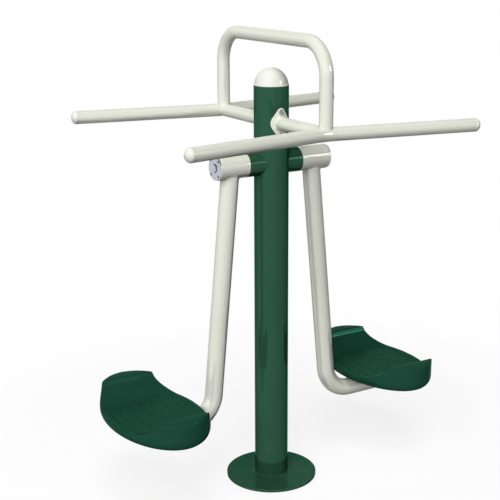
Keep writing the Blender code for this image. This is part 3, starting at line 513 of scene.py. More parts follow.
# %% Build the tube tree
class Rule(Wiring):
    """A Geometry Nodes tree with named inputs, which always has a base and a material."""

    def __init__(self, name, **labels):
        super().__init__(bpy.data.node_groups.new(name, "GeometryNodeTree"))
        new_socket = self.tree.interface.new_socket
        for kind, names in {"Geometry": ["Base"], **labels, "Material": ["Material"]}.items():
            for label in names:
                new_socket(label, in_out="INPUT", socket_type=f"NodeSocket{kind}")
        new_socket("Result", in_out="OUTPUT", socket_type="NodeSocketGeometry")
        self.entry = self.tree.nodes.new("NodeGroupInput")

    def __getitem__(self, label):
        """One of the tree's own inputs."""
        return Value(self, self.entry.outputs[label])

    def result(self, geometry):
        """Ends the tree: real faces, smooth, with their material."""
        real = self.node("GeometryNodeRealizeInstances", {"Geometry": geometry})
        smooth = self.node("GeometryNodeSetShadeSmooth", {"Geometry": real})
        inputs = {"Geometry": smooth, "Material": self["Material"]}
        finished = self.node("GeometryNodeSetMaterial", inputs)
        self.tree.links.new(finished.socket, self.tree.nodes.new("NodeGroupOutput").inputs[0])
        print("rule:", self.tree.name, len(self.tree.nodes), "nodes")
        return self.tree

    def shape_on(self, points):
        """Ends a tree that sets its Shape on points."""
        inputs = {"Object": self["Shape"]}
        shape = self.node("GeometryNodeObjectInfo", inputs, output="Geometry")
        inputs = {"Points": points, "Instance": shape}
        return self.result(self.node("GeometryNodeInstanceOnPoints", inputs))


def tube_rule():
    """A circle swept along a line with rounded corners."""
    rule = Rule("bent_tube", Float=["Radius", "Bend"], Int=["Bend points", "Sides"])
    line = rule.node("GeometryNodeMeshToCurve", {"Mesh": rule["Base"]})
    inputs = {"Curve": line, "Count": rule["Bend points"], "Radius": rule["Bend"]}
    line = rule.node("GeometryNodeFilletCurve", inputs, mode="POLY")
    inputs = {"Resolution": rule["Sides"], "Radius": rule["Radius"]}
    section = rule.node("GeometryNodeCurvePrimitiveCircle", inputs, mode="RADIUS")
    inputs = {"Curve": line, "Profile Curve": section, "Fill Caps": True}
    return rule.result(rule.node("GeometryNodeCurveToMesh", inputs))


bent_tube = tube_rule()

# %% [markdown]
# ## Run a tree and keep a plain mesh
# A modifier's inputs are set by their identifiers before the object is first evaluated.
# The result is copied to a plain mesh, and the object goes with its modifiers, so that
# nothing is live.

# %% Grow a mesh from a tree
def baked(thing):
    """An object's mesh with its modifiers applied. The object goes."""
    depsgraph = bpy.context.evaluated_depsgraph_get()
    mesh = bpy.data.meshes.new_from_object(thing.evaluated_get(depsgraph), depsgraph=depsgraph)
    bpy.data.objects.remove(thing)
    return mesh


def path_mesh(points):
    """A line through some points."""
    mesh = bpy.data.meshes.new("path")
    edges = [(index, index + 1) for index in range(len(points) - 1)]
    mesh.from_pydata([tuple(point) for point in points], edges, [])
    return mesh


def grow(name, tree, points, values, turn=None):
    """Runs a tree on a line through some points and returns a plain mesh."""
    holder = new_object(name, path_mesh(points))
    modifier = adjusted(holder.modifiers.new("rule", "NODES"), node_group=tree)
    for item in tree.interface.items_tree:
        if item.in_out == "INPUT" and item.name in values:
            modifier[item.identifier] = values[item.name]
    mesh = closed_copy(name, [baked(holder)], turn)
    mesh.materials.append(values["Material"])
    return mesh


def repeated(name, tree, shape, values, turn):
    """Runs a tree that sets a shape on points and returns a plain mesh."""
    thing = new_object("shape", shape)
    mesh = grow(name, tree, [], {**values, "Shape": thing}, turn)
    bpy.data.objects.remove(thing)
    return mesh


TUBE_SIDES = 64
BEND_POINTS = 24


def bent(name, corners, radius, bend):
    """A bent tube in cream enamel, through some corners."""
    values = {"Radius": radius, "Bend": bend, "Bend points": BEND_POINTS,
              "Sides": TUBE_SIDES, "Material": cream_enamel}
    return grow(name, bent_tube, corners, values)


# %% [markdown]
# ## Swing arms
# Each arm is a 60 mm tube. It leaves its housing, leans out as it goes down, and turns
# under the pedal in one bend. Its top starts inside the housing's wall, where the real
# tube is coped and welded, and its end is closed by a black plug.

# %% Bend the arms and plug them
HOUSING_MIDDLE = 0.15245
ARM_RADIUS = 0.030
ARM_CORNER = 0.2335
ARM_FOOT_HEIGHT = 0.2535
ARM_FOOT_END = 0.481
ARM_BEND = 0.100
ARM_COPE = 0.026
PLUG_CROWN = 0.006
PLUG_RIM = 0.001

arm_top = Vector((HOUSING_MIDDLE, 0, AXLE_HEIGHT))
arm_corner = Vector((ARM_CORNER, 0, ARM_FOOT_HEIGHT))
arm_way = (arm_corner - arm_top).normalized()
arm_corners = [arm_top + arm_way * ARM_COPE, arm_corner, (ARM_FOOT_END, 0, ARM_FOOT_HEIGHT)]
arm = bent("arm", arm_corners, ARM_RADIUS, ARM_BEND)


def crown_profile(radius, crown, rim, steps=12):
    """A domed plug: a thin rim, then a crown, seen from its side."""
    dome = [(radius * across, rim + (crown - rim) * up)
            for across, up in arc(QUARTER, -QUARTER, steps)]
    return [(0, crown), *dome[1:], (radius, rim / 2), (radius, 0), (0, 0)]


plug_place = Matrix.Translation((ARM_FOOT_END + GAP, 0, ARM_FOOT_HEIGHT)) @ ALONG_X
plug = lathe("plug", crown_profile(ARM_RADIUS, PLUG_CROWN, PLUG_RIM), TUBE_SIDES, plug_place)
add_copies(SIDES, "arm_tube", arm, "cream_paint", "swing_arm", body=ARM)
add_copies(SIDES, "arm_end", plug, "black_plastic", "arm_plug", body=ARM)

# %% [markdown]
# ## Handlebars, stub tubes and the overhead loop
# Each handlebar is a shallow V on a short stub tube. The loop rises from one handlebar,
# passes over the post and comes down on the other, which stiffens both.

# %% Bend the handrail
BAR_RADIUS = 0.0215
BAR_HEIGHT = 1.2375
BAR_OFFSET = 0.310
BAR_TIP = Vector((0.5206, 0.405, BAR_HEIGHT))
BAR_BEND = 0.250
BAR_CROWN = 0.019
LOOP_HEIGHT = 1.5068
LOOP_BEND = 0.102
SADDLE_OUTER = 0.0613
STUB_SINK = 0.006

bar_middle = Vector((0, BAR_OFFSET, BAR_HEIGHT))
bar_way = (BAR_TIP - bar_middle).normalized()
bar_end = BAR_TIP - bar_way * BAR_CROWN
bar_corners = [Vector((-bar_end.x, bar_end.y, bar_end.z)), bar_middle, bar_end]
bar = bent("bar", bar_corners, BAR_RADIUS, BAR_BEND)
stub_start = Vector((0, SADDLE_OUTER - STUB_SINK, BAR_HEIGHT))
stub = bent("stub", [stub_start, bar_middle], BAR_RADIUS, 0.0)
loop_corners = [(0, -BAR_OFFSET, BAR_HEIGHT), (0, -BAR_OFFSET, LOOP_HEIGHT),
                (0, BAR_OFFSET, LOOP_HEIGHT), (0, BAR_OFFSET, BAR_HEIGHT)]
loop = bent("loop", loop_corners, BAR_RADIUS, LOOP_BEND)
add_piece("loop_tube", loop, "frame", "cream_paint", "overhead_loop")
add_copies(ENDS, "bar_tube", bar, "cream_paint", "handlebar")
add_copies(ENDS, "stub", stub, "cream_paint", "stub_tube")

# %% [markdown]
# ## Caps on the handlebars
# Four domed caps close the handlebars. They are turned once, leaned into line with the
# bar's end, and turned or mirrored to the other three ends.

# %% Turn the bar caps
BAR_CAP_RIM = 0.003

bar_cap = lathe("bar_cap", crown_profile(BAR_RADIUS, BAR_CROWN, BAR_CAP_RIM), TUBE_SIDES, ALONG_X)
lean = math.atan2(bar_way.y, bar_way.x)
for end, angle in ENDS.items():
    for across in (1, -1):
        turn = Matrix.Rotation(angle, 4, "Z")
        turn = turn @ Matrix.Translation((across * bar_end.x, bar_end.y, bar_end.z))
        turn = turn @ Matrix.Rotation(lean if across > 0 else math.pi - lean, 4, "Z")
        cap_copy = bar_cap.copy()
        cap_copy.transform(turn)
        side = "right" if across * math.cos(angle) > 0 else "left"
        add_piece(f"{end}_{side}_tip", cap_copy, "frame", "cream_plastic", f"{end}_{side}_bar_cap")

# %% [markdown]
# ## Saddles
# A saddle is a curved steel lozenge that spreads the stub tube's load on the post. It
# is drawn flat, as a wide circle round the tube and a small one round each bolt, and
# then bent on to the post. Its rings are true offsets of the outline, so the rounded
# edge has the same width all round.

# %% Shape the saddles
SADDLE_INNER = 0.0573
SADDLE_HALF_WIDTH = 0.033
SADDLE_TIP = 0.013
SADDLE_EDGE = 0.0016
SADDLE_CHAMFER = 0.0004
SADDLE_CORE = 0.012
FACE_INSETS = (0.0022, 0.004, 0.007, SADDLE_CORE)
BOLT_RISE = 0.036
ARC_STEPS = 20


def lozenge(inset):
    """The saddle's outline, made smaller by an inset."""
    tilt = math.acos((SADDLE_HALF_WIDTH - SADDLE_TIP) / BOLT_RISE)
    points = []
    for sign in (1, -1):
        top = sign * QUARTER
        for radius, centre, start, sweep in (
                (SADDLE_TIP - inset, sign * BOLT_RISE, top - tilt, 2 * tilt),
                (SADDLE_HALF_WIDTH - inset, 0.0, top + tilt, math.pi - 2 * tilt)):
            points += [(radius * across, centre + radius * up)
                       for across, up in arc(start, sweep, ARC_STEPS)]
    return points


def saddle_rings():
    """The lozenge bent on to the post, in steps from the back to the front."""
    steps = [(SADDLE_CORE, share, SADDLE_INNER) for share in (0.0, 0.5, 1.0)]
    steps += [(SADDLE_CHAMFER, 1.0, SADDLE_INNER), (0.0, 1.0, SADDLE_INNER + SADDLE_CHAMFER)]
    steps += [(SADDLE_EDGE * (1 - inward), 1.0, SADDLE_OUTER - SADDLE_EDGE * (1 - outward))
              for inward, outward in arc(0.0, QUARTER, ROUND_STEPS)]
    steps += [(inset, 1.0, SADDLE_OUTER) for inset in FACE_INSETS]
    steps += [(SADDLE_CORE, share, SADDLE_OUTER) for share in (0.75, 0.5, 0.25, 0.0)]
    for inset, squeeze, radius in steps:
        flat = [(across * squeeze, up) for across, up in lozenge(inset)]
        yield [(x, math.sqrt(radius ** 2 - x ** 2), BAR_HEIGHT + up) for x, up in flat]


add_copies(ENDS, "saddle_plate", skinned("saddle", saddle_rings()), "cream_paint", "saddle")

# %% [markdown]
# ## Welds
# Every tube here is welded where it meets another, and the enamel flows over the weld
# as a small hollow curve. The joint's line is found by following each line of the tube
# until it meets what carries it. The weld is swept along that line, and a slight ripple
# in its size is what the torch leaves.

# %% Find a joint and weld it
WELD_STEPS = 200
WELD_CURVE = 6
WELD_SINK = 0.0002
RIPPLE_SHARE = 0.05
RIPPLE_COUNT = 50
WELD_FADE = 2
WELD_BACK = 0.25


def first_hit(start, way, carrier):
    """How far a line runs before it meets a carrying tube, and the normal there."""
    centre, axis, radius, reach = carrier
    offset = start - centre
    across = way - axis * way.dot(axis)
    side = offset - axis * offset.dot(axis)
    square = across.length_squared
    middle = -across.dot(side) / square
    spare = middle ** 2 - (side.length_squared - radius ** 2) / square
    distance = middle - math.sqrt(max(spare, 0.0))
    point = start + way * distance
    along = (point - centre).dot(axis)
    normal = (point - centre - axis * along).normalized()
    return (distance, normal) if reach[0] <= along <= reach[1] else None


def hollow_curve(top, corner, foot):
    """The weld's face: a curve that is drawn towards the corner it fills."""
    shares = [place / WELD_CURVE for place in range(WELD_CURVE + 1)]
    return [top * (1 - share) ** 2 + corner * 2 * share * (1 - share) + foot * share ** 2
            for share in shares]


def weld_mesh(name, start, way, radius, carriers, size):
    """A hollow curve all round the joint of a tube with what carries it."""
    side = way.orthogonal().normalized()
    up = way.cross(side)
    rings = []
    for step in range(WELD_STEPS):
        angle = math.tau * step / WELD_STEPS
        outward = side * math.cos(angle) + up * math.sin(angle)
        line = Vector(start) + outward * radius
        hits = [first_hit(line, way, carrier) for carrier in carriers]
        distance, normal = min((hit for hit in hits if hit), key=lambda hit: hit[0])
        point = line + way * distance
        along = outward - normal * outward.dot(normal)
        ripple = 1 + RIPPLE_SHARE * math.sin(angle * RIPPLE_COUNT)
        leg = size * ripple * min(1.0, along.length * WELD_FADE)
        along.normalize()
        ring = []
        for place, spot in enumerate(hollow_curve(point - way * leg, point, point + along * leg)):
            share = place / WELD_CURVE
            ring.append(spot - (outward * (1 - share) + normal * share) * WELD_SINK)
        rings.append([*ring, point - (outward + normal) * size * WELD_BACK])
    return skinned(name, rings + rings[:1])


# %% Weld the frame and the arms
X_AXIS = Vector((1, 0, 0))
Y_AXIS = Vector((0, 1, 0))
Z_AXIS = Vector((0, 0, 1))
ANYWHERE = (-1.0, 2.0)
HEAD_WELD = 0.005
ARM_WELD = 0.006
STUB_WELD = 0.005
BAR_WELD = 0.003

axle_middle = Vector((0, 0, AXLE_HEIGHT))
axle_end = axle_middle + X_AXIS * HOUSING_END
loop_foot = Vector((0, BAR_OFFSET, LOOP_HEIGHT - LOOP_BEND))
post_line = (Vector(), Z_AXIS, POST_RADIUS, ANYWHERE)
saddle_line = (Vector(), Z_AXIS, SADDLE_OUTER, ANYWHERE)
housing_line = (axle_middle, X_AXIS, HEAD_RADIUS, ANYWHERE)
bar_line = (bar_middle, X_AXIS, BAR_RADIUS, ANYWHERE)
stub_line = (bar_middle, -Y_AXIS, BAR_RADIUS, (0.0, BAR_OFFSET))

head_weld = weld_mesh("head_weld", axle_end, -X_AXIS, HEAD_RADIUS, [post_line], HEAD_WELD)
arm_weld = weld_mesh("arm_weld", arm_corner, -arm_way, ARM_RADIUS, [housing_line], ARM_WELD)
add_copies(SIDES, "head_weld", head_weld, "green_paint")
add_copies(SIDES, "arm_weld", arm_weld, "cream_paint", body=ARM)
JOINTS = {"stub": (bar_middle, -Y_AXIS, [saddle_line], STUB_WELD),
          "bar": ((0, 0, BAR_HEIGHT), Y_AXIS, [bar_line], BAR_WELD),
          "loop": (loop_foot, -Z_AXIS, [bar_line, stub_line], BAR_WELD)}
for kind, (start, way, carriers, size) in JOINTS.items():
    weld = weld_mesh(f"{kind}_weld", start, way, BAR_RADIUS, carriers, size)
    add_copies(ENDS, f"{kind}_weld", weld, "cream_paint")

# %% [markdown]
# ## The weld round the post's foot
# The post stands square on its plate, so this weld is a plain ring and can be turned.

# %% Turn the foot weld
FOOT_WELD = 0.0025

weld_top = Vector((POST_RADIUS - WELD_SINK, BASE_THICKNESS + FOOT_WELD))
weld_corner = Vector((POST_RADIUS, BASE_THICKNESS))
weld_foot = Vector((POST_RADIUS + FOOT_WELD, BASE_THICKNESS - WELD_SINK))
foot_profile = hollow_curve(weld_top, weld_corner, weld_foot)
foot_profile.append(weld_corner - Vector((FOOT_WELD, FOOT_WELD)) * WELD_BACK)
foot_weld = lathe("foot_weld", foot_profile, POST_STEPS)
add_piece("foot_weld", foot_weld, "frame", "green_paint")

# %% [markdown]
# ## Cuts
# The pedals are moulded and the covers drilled. Both start as plain solids, and a Boolean
# takes away what the real tool takes away.

# %% Cut a solid
SHARP_ANGLE = math.radians(32)


def cut_mesh(name, body, tools):
    """A body less some tools, with its sharp edges marked."""
    target = new_object(name, body)
    cutters = [new_object("cutter", tool) for tool in tools]
    for cutter in cutters:
        adjusted(target.modifiers.new("cut", "BOOLEAN"), object=cutter, solver="EXACT")
    mesh = baked(target)
    for cutter in cutters:
        bpy.data.objects.remove(cutter)
    mesh.set_sharp_from_angle(angle=SHARP_ANGLE)
    return mesh


# %% [markdown]
# ## Pedals
# A pedal is an oval moulding, rounded below, with a lip at each end that keeps the foot
# on it. The space over the deck is one curve swept sideways, and the tread is a shallow
# pan that follows the same curve a little lower. So the pedal is the oval, less the
# space over the deck, less the pan.

# %% Cut the pedal
PEDAL_CENTRE = 0.445
PEDAL_BOTTOM = 0.292
PEDAL_HALF_WIDTH = 0.155
PEDAL_HALF_LENGTH = 0.255
PEDAL_ROUND = 0.029
DECK = 0.034
LIP_HEIGHT = 0.092
LIP_EDGE = 0.200
LIP_RISE = 0.110
TREAD_WIDTH = 0.128
TREAD_LENGTH = 0.160
TREAD_DEPTH = 0.0030
TREAD_FULLNESS = 3.0
RIM_STEPS = 180
CURVE_STEPS = 40
TOOL_REACH = 0.2


def oval(inset, height):
    """The pedal's outline, made smaller by an inset."""
    points = []
    for across, along in circle(RIM_STEPS):
        out = Vector((across / PEDAL_HALF_WIDTH, along / PEDAL_HALF_LENGTH, 0)).normalized()
        edge = Vector((PEDAL_HALF_WIDTH * across, PEDAL_HALF_LENGTH * along, height))
        points.append(edge - out * inset)
    return points


def tread_outline(height):
    """The tread's outline, between an oval and a rectangle."""
    points = []
    for across, along in circle(RIM_STEPS):
        parts = (abs(across / TREAD_WIDTH), abs(along / TREAD_LENGTH))
        total = sum(part ** TREAD_FULLNESS for part in parts)
        edge = Vector((across, along, 0)) * total ** (-1 / TREAD_FULLNESS)
        points.append(edge + Z_AXIS * height)
    return points


def deck_tool(name, drop, end):
    """The space over or under the deck's curve, from a side to the other."""
    half = [(LIP_EDGE - LIP_RISE * (1 - sine), LIP_HEIGHT - (LIP_HEIGHT - DECK) * cosine - drop)
            for cosine, sine in arc(0.0, QUARTER, CURVE_STEPS)]
    line = [(-along, up) for along, up in reversed(half)] + half
    line += [(LIP_EDGE, end), (-LIP_EDGE, end)]
    sides = [[(across, along, up) for along, up in line] for across in (-TOOL_REACH, TOOL_REACH)]
    return skinned(name, sides, capped=True)


rings = [oval(PEDAL_ROUND * (1 - sine), PEDAL_ROUND * (1 - cosine))
         for cosine, sine in arc(0.0, QUARTER, ROUND_STEPS)]
body = skinned("pedal_body", [*rings, oval(0, LIP_HEIGHT)], capped=True)
over_deck = deck_tool("over_deck", 0.0, TOOL_REACH)
pan = skinned("pan", [tread_outline(0.0), tread_outline(LIP_HEIGHT)], capped=True)
pan = cut_mesh("pan", pan, [deck_tool("under_pan", TREAD_DEPTH, -TOOL_REACH)])
pedal_blank = cut_mesh("pedal_blank", body, [over_deck, pan])
print("pedal blank:", len(pedal_blank.polygons), "faces")

# %% [markdown]
# ## Soft edges all over
# No edge of a moulding is crisp. A bevel fails where the lip's edge runs out into the
# rim, so the blank is remeshed into even small faces, and smoothing rounds every edge by
# the same few millimetres.

# %% Soften the pedal
FACE_SIZE = 0.0024
SMOOTHING = 32

pedal_object = new_object("pedal", pedal_blank)
adjusted(pedal_object.modifiers.new("even", "REMESH"), mode="VOXEL", voxel_size=FACE_SIZE)
adjusted(pedal_object.modifiers.new("soft", "SMOOTH"), factor=0.5, iterations=SMOOTHING)
pedal_place = Matrix.Translation((PEDAL_CENTRE, 0, PEDAL_BOTTOM))
pedal = closed_copy("pedal", [baked(pedal_object)], pedal_place)
add_copies(SIDES, "pedal_shell", pedal, "green_plastic", "pedal", body=ARM)

# %% [markdown]
# ## Studs on the tread
# Low round studs stand in rows on the tread and stop a shoe from slipping. They follow
# a rule, so Geometry Nodes make them: a grid of points, less those outside the tread's
# outline, lifted where the deck's curve rises, with one stud on each.

# %% Build the stud tree
def stud_rule():
    """A grid of studs inside an oval with full corners."""
    rule = Rule("tread_studs", Int=["Rows", "Columns"], Object=["Shape"],
                Float=["Across", "Along", "Half width", "Half length", "Fullness", "Edge",
                       "Flat", "Rise", "Lip"])
    inputs = {"Size X": rule["Across"], "Size Y": rule["Along"],
              "Vertices X": rule["Columns"], "Vertices Y": rule["Rows"]}
    grid = rule.node("GeometryNodeMeshGrid", inputs)
    place = rule.node("GeometryNodeInputPosition")
    across, along = (rule.maths("ABSOLUTE", rule.axis(place, name)) for name in "XY")
    power = rule["Fullness"]
    total = (across / rule["Half width"]) ** power + (along / rule["Half length"]) ** power
    inputs = {0: total, 1: rule["Edge"]}
    outside = rule.node("FunctionNodeCompare", inputs, operation="GREATER_THAN")
    inputs = {"Geometry": grid, "Selection": outside}
    kept = rule.node("GeometryNodeDeleteGeometry", inputs, domain="POINT")
    share = rule.maths("MAXIMUM", along - rule["Flat"], 0.0) / rule["Rise"]
    lift = (1.0 - (1.0 - share * share) ** 0.5) * rule["Lip"]
    inputs = {"Geometry": kept, "Offset": rule.node("ShaderNodeCombineXYZ", {"Z": lift})}
    return rule.shape_on(rule.node("GeometryNodeSetPosition", inputs))


tread_studs = stud_rule()

# %% Stud both pedals
STUD_RADIUS = 0.0098
STUD_HEIGHT = 0.0030
STUD_SINK = 0.0003
STUD_CURVE = 8
STUD_SHOULDER = 1.25
STUD_SIDES = 24
STUD_FIELD = {"Across": 0.208, "Along": 0.258, "Rows": 7, "Columns": 6, "Edge": 1.0}


def stud_profile():
    """A low dome that runs out softly to its foot."""
    points = []
    for step in range(STUD_CURVE + 1):
        share = step / STUD_CURVE
        fall = 0.5 + 0.5 * math.cos(math.pi * share ** STUD_SHOULDER)
        points.append((STUD_RADIUS * share, STUD_HEIGHT * fall))
    return [*points, (STUD_RADIUS, -STUD_SINK), (0, -STUD_SINK)]


stud = lathe("stud", stud_profile(), STUD_SIDES)
stud_values = {**STUD_FIELD, "Half width": TREAD_WIDTH, "Half length": TREAD_LENGTH,
               "Fullness": TREAD_FULLNESS, "Flat": LIP_EDGE - LIP_RISE, "Rise": LIP_RISE,
               "Lip": LIP_HEIGHT - DECK, "Material": green_moulding}
tread_place = pedal_place @ Matrix.Translation((0, 0, DECK - TREAD_DEPTH))
studs = repeated("studs", tread_studs, stud, stud_values, tread_place)
add_copies(SIDES, "tread_studs", studs, "green_plastic", body=ARM)

# %% [markdown]
# ## End covers
# A turned steel cover closes each housing. It has a low boss in the middle, with a groove
# round it that stays dark, and four counterbored screws. A Boolean cuts the recesses, and
# edges sharper than a set angle are marked, so that smooth shading stops at them.

# %% Turn and drill the end covers
COVER_START = 0.2055
COVER_FACE = 0.2105
COVER_RADIUS = 0.0395
COVER_STEPS = 96
BOSS_RADIUS = 0.013
BOSS_HEIGHT = 0.004
GROOVE_WIDTH = 0.0022
GROOVE_DEPTH = 0.0030
BOSS_ROUNDING = 0.0012
GROOVE_ROUNDING = 0.0003
COVER_EDGES = (0.0002, 0.0010)
SCREW_COUNT = 4
FIRST_SCREW = math.pi / 4
SCREW_CIRCLE = 0.03325
SCREW_RADIUS = 0.0042
SCREW_SEAT = 0.0034
SCREW_STEPS = 32
CLEAR = 0.002


def disc(radius, low, high, steps, turn=None):
    """A plain round or many-sided tool for cutting."""
    return lathe("disc", [(0, high), (radius, high), (radius, low), (0, low)], steps, turn)


boss_top = COVER_FACE + BOSS_HEIGHT
groove_edge = BOSS_RADIUS + GROOVE_WIDTH
groove_floor = COVER_FACE - GROOVE_DEPTH
cover_corners = [(0, boss_top, 0), (BOSS_RADIUS, boss_top, BOSS_ROUNDING),
                 (BOSS_RADIUS, groove_floor, GROOVE_ROUNDING),
                 (groove_edge, groove_floor, GROOVE_ROUNDING),
                 (groove_edge, COVER_FACE, GROOVE_ROUNDING),
                 (COVER_RADIUS, COVER_FACE, COVER_EDGES[1]),
                 (COVER_RADIUS, COVER_START, COVER_EDGES[0]), (0, COVER_START, 0)]
cover_body = lathe("cover", rounded_profile(cover_corners), COVER_STEPS)
bores = [disc(SCREW_RADIUS + GAP, COVER_FACE - SCREW_SEAT, COVER_FACE + CLEAR, SCREW_STEPS,
              Matrix.Translation((SCREW_CIRCLE * across, SCREW_CIRCLE * up, 0)))
         for across, up in circle(SCREW_COUNT, FIRST_SCREW)]
cover = cut_mesh("cover", cover_body, bores)
cover.transform(to_axle)
add_copies(SIDES, "cover", cover, "zinc_plate", "end_cover", body=ARM, finish=turned_steel)

# %% [markdown]
# ## Screws and bolts
# A screw head is turned and its hexagon socket is cut. One tree then sets any number of
# them on a circle: four round each cover, and two round each stub tube.

# %% Build the screw tree
HEXAGON = 6


def ring_rule():
    """Copies of a screw on a circle, all facing along the circle's axis."""
    rule = Rule("ring_of_screws", Int=["Count"], Object=["Shape"], Float=["Circle", "First angle"])
    number = rule.node("GeometryNodeInputIndex")
    angle = number / rule["Count"] * math.tau + rule["First angle"]
    across, up = (rule.maths(kind, angle) * rule["Circle"] for kind in ("COSINE", "SINE"))
    place = rule.node("ShaderNodeCombineXYZ", {"X": across, "Y": up})
    inputs = {"Count": rule["Count"], "Position": place}
    return rule.shape_on(rule.node("GeometryNodePoints", inputs))


ring_of_screws = ring_rule()


def screw_ring(name, head, count, radius, first, material, turn):
    """A ring of screws from a first angle on, turned into place."""
    values = {"Count": count, "Circle": radius, "First angle": first, "Material": material}
    ring = repeated(name, ring_of_screws, head, values, turn)
    ring.set_sharp_from_angle(angle=SHARP_ANGLE)
    return ring


def socket_head(name, radius, height, edges, steps, socket):
    """A screw's head: turned, less a hexagon tool of a radius that cuts from low to high."""
    head = round_bar(name, radius, 0, height, edges, steps)
    return cut_mesh(name, head, [disc(*socket, HEXAGON)])


# %% Set the cover screws
screw_head = socket_head("screw_head", SCREW_RADIUS, height=0.0028, edges=(0.0001, 0.0006),
                         steps=SCREW_STEPS, socket=(0.0021, 0.0012, 0.004))
screw_place = to_axle @ Matrix.Translation((0, 0, COVER_FACE - SCREW_SEAT))
cover_screws = screw_ring("cover_screws", screw_head, SCREW_COUNT, SCREW_CIRCLE, FIRST_SCREW,
                          dark_steel, screw_place)
screw_nodes = [f"cover_screw_{number + 1}" for number in range(SCREW_COUNT)]
add_copies(SIDES, "cover_screws", cover_screws, "dark_steel", *screw_nodes, body=ARM)

# %% [markdown]
# ## Clamp bolts
# Two bolts go right through the post and hold both saddles. At the front they have low
# round heads, and at the back domed nuts.

# %% Set the clamp bolts and their nuts
CLAMP_SEAT = 0.0616
CLAMP_RADIUS = 0.0085
CLAMP_STEPS = 48
CLAMP_COUNT = 2
NUT_ACROSS = 0.016
NUT_HEX = 0.008
NUT_DOME = 0.007
NUT_STEP = 0.001
NUT_EDGES = (0.0005, 0.0005)

nut_radius = NUT_ACROSS / math.sqrt(3)
hexagon = round_bar("hexagon", nut_radius, 0, NUT_HEX, NUT_EDGES, HEXAGON, bends=2)
dome = crown_profile(NUT_ACROSS / 2 - NUT_STEP, NUT_HEX + NUT_DOME, NUT_HEX)
nut = closed_copy("nut", [hexagon, lathe("crown", dome, SCREW_STEPS)])
nut.set_sharp_from_angle(angle=SHARP_ANGLE)
clamp_head = socket_head("clamp_head", CLAMP_RADIUS, height=0.0055, edges=(0.0003, 0.0036),
                         steps=CLAMP_STEPS, socket=(0.0035, 0.0025, 0.008))
for kind, head, node, angle in (("clamp_bolt_heads", clamp_head, "clamp_bolt", ENDS["front"]),
                                ("clamp_nuts", nut, "clamp_nut", ENDS["back"])):
    place = Matrix.Translation((0, 0, BAR_HEIGHT)) @ Matrix.Rotation(angle, 4, "Z") @ ALONG_Y
    place = place @ Matrix.Translation((0, 0, CLAMP_SEAT))
    ring = screw_ring(kind, head, CLAMP_COUNT, BOLT_RISE, QUARTER, zinc, place)
    add_piece(kind, ring, "frame", "zinc_plate", f"upper_{node}", f"lower_{node}")

# %% [markdown]
# ## What the model already shows well
# The brackets and bolts under the pedals have the right shape and only need their edges
# broken. Their meshes are copied and merged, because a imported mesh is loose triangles,
# and a Bevel rounds what is sharper than a set angle.

# %% Break the edges of the brackets and bolts
EDGE_BREAK = 0.0008
LOOSE_DISTANCE = 0.00001
FLAT_ANGLE = math.radians(1)
UNDER_PEDAL = {"bracket": "cream_paint", "bolt_1": "zinc_plate", "bolt_2": "zinc_plate"}


def edge_broken(name, node):
    """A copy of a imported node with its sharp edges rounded."""
    shape = bmesh.new()
    shape.from_mesh(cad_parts[node].data)
    bmesh.ops.remove_doubles(shape, verts=shape.verts, dist=LOOSE_DISTANCE)
    bmesh.ops.dissolve_limit(shape, angle_limit=FLAT_ANGLE, verts=shape.verts, edges=shape.edges)
    mesh = bpy.data.meshes.new(name)
    shape.to_mesh(mesh)
    shape.free()
    thing = new_object(name, mesh)
    adjusted(thing.modifiers.new("break", "BEVEL"), width=EDGE_BREAK, segments=2,
             limit_method="ANGLE", angle_limit=SHARP_ANGLE)
    made = baked(thing)
    made.materials.clear()
    made.set_sharp_from_angle(angle=SHARP_ANGLE)
    return made


for side in SIDES:
    for kind, slot in UNDER_PEDAL.items():
        node = f"{side}_pedal_{kind}"
        add_piece(f"{side}_{kind}", edge_broken(kind, node), ARM.format(side), slot, node)

# %% [markdown]
# ## Finish the nodes that stay
# The shaft, its collars, the bearings and the nuts are inside the head. They keep the
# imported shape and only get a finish.

# %% Paint the nodes that stay
INNER_FINISHES = {"axle_shaft": bright_steel, "shaft_collar": green_enamel, "race": bright_steel,
                  "ball_cage": bright_steel, "axle_nut": zinc}
painted = []
for name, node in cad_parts.items():
    for part, material in INNER_FINISHES.items():
        if name.endswith(part):
            node.data.materials.clear()
            node.data.materials.append(material)
            painted.append(name)
print("nodes kept:", sorted(painted))

# %% [markdown]
# ## Floor
# The floor is pale and matt. To the camera it has to run out to white and still keep the
# object's shadow, without more light on the object. So camera rays see the lit floor
# mixed with a plain white glow, and further out they see only the glow.

# %% Set the floor
FLOOR_SIZE = 60.0
FLOOR_DROP = 0.0005
FLOOR_COLOUR = (0.95, 0.95, 0.95, 1.0)
BOUNCE_COLOUR = (0.06, 0.06, 0.06, 1.0)
WHITE = (1.0, 1.0, 1.0, 1.0)
SHADOW_SHARE = 0.20
NEAR_FLOOR = 0.7
FAR_FLOOR = 2.2


def white_rays(wiring):
    """1 for rays from the camera, gloss or glass, which see white, and 1 for gloss alone."""
    rays = wiring.tree.nodes.new("ShaderNodeLightPath")
    names = ("Is Camera Ray", "Is Glossy Ray", "Is Transmission Ray")
    camera_ray, gloss_ray, glass_ray = (Value(wiring, rays.outputs[name]) for name in names)
    return wiring.maths("MAXIMUM", camera_ray + gloss_ray, glass_ray), gloss_ray


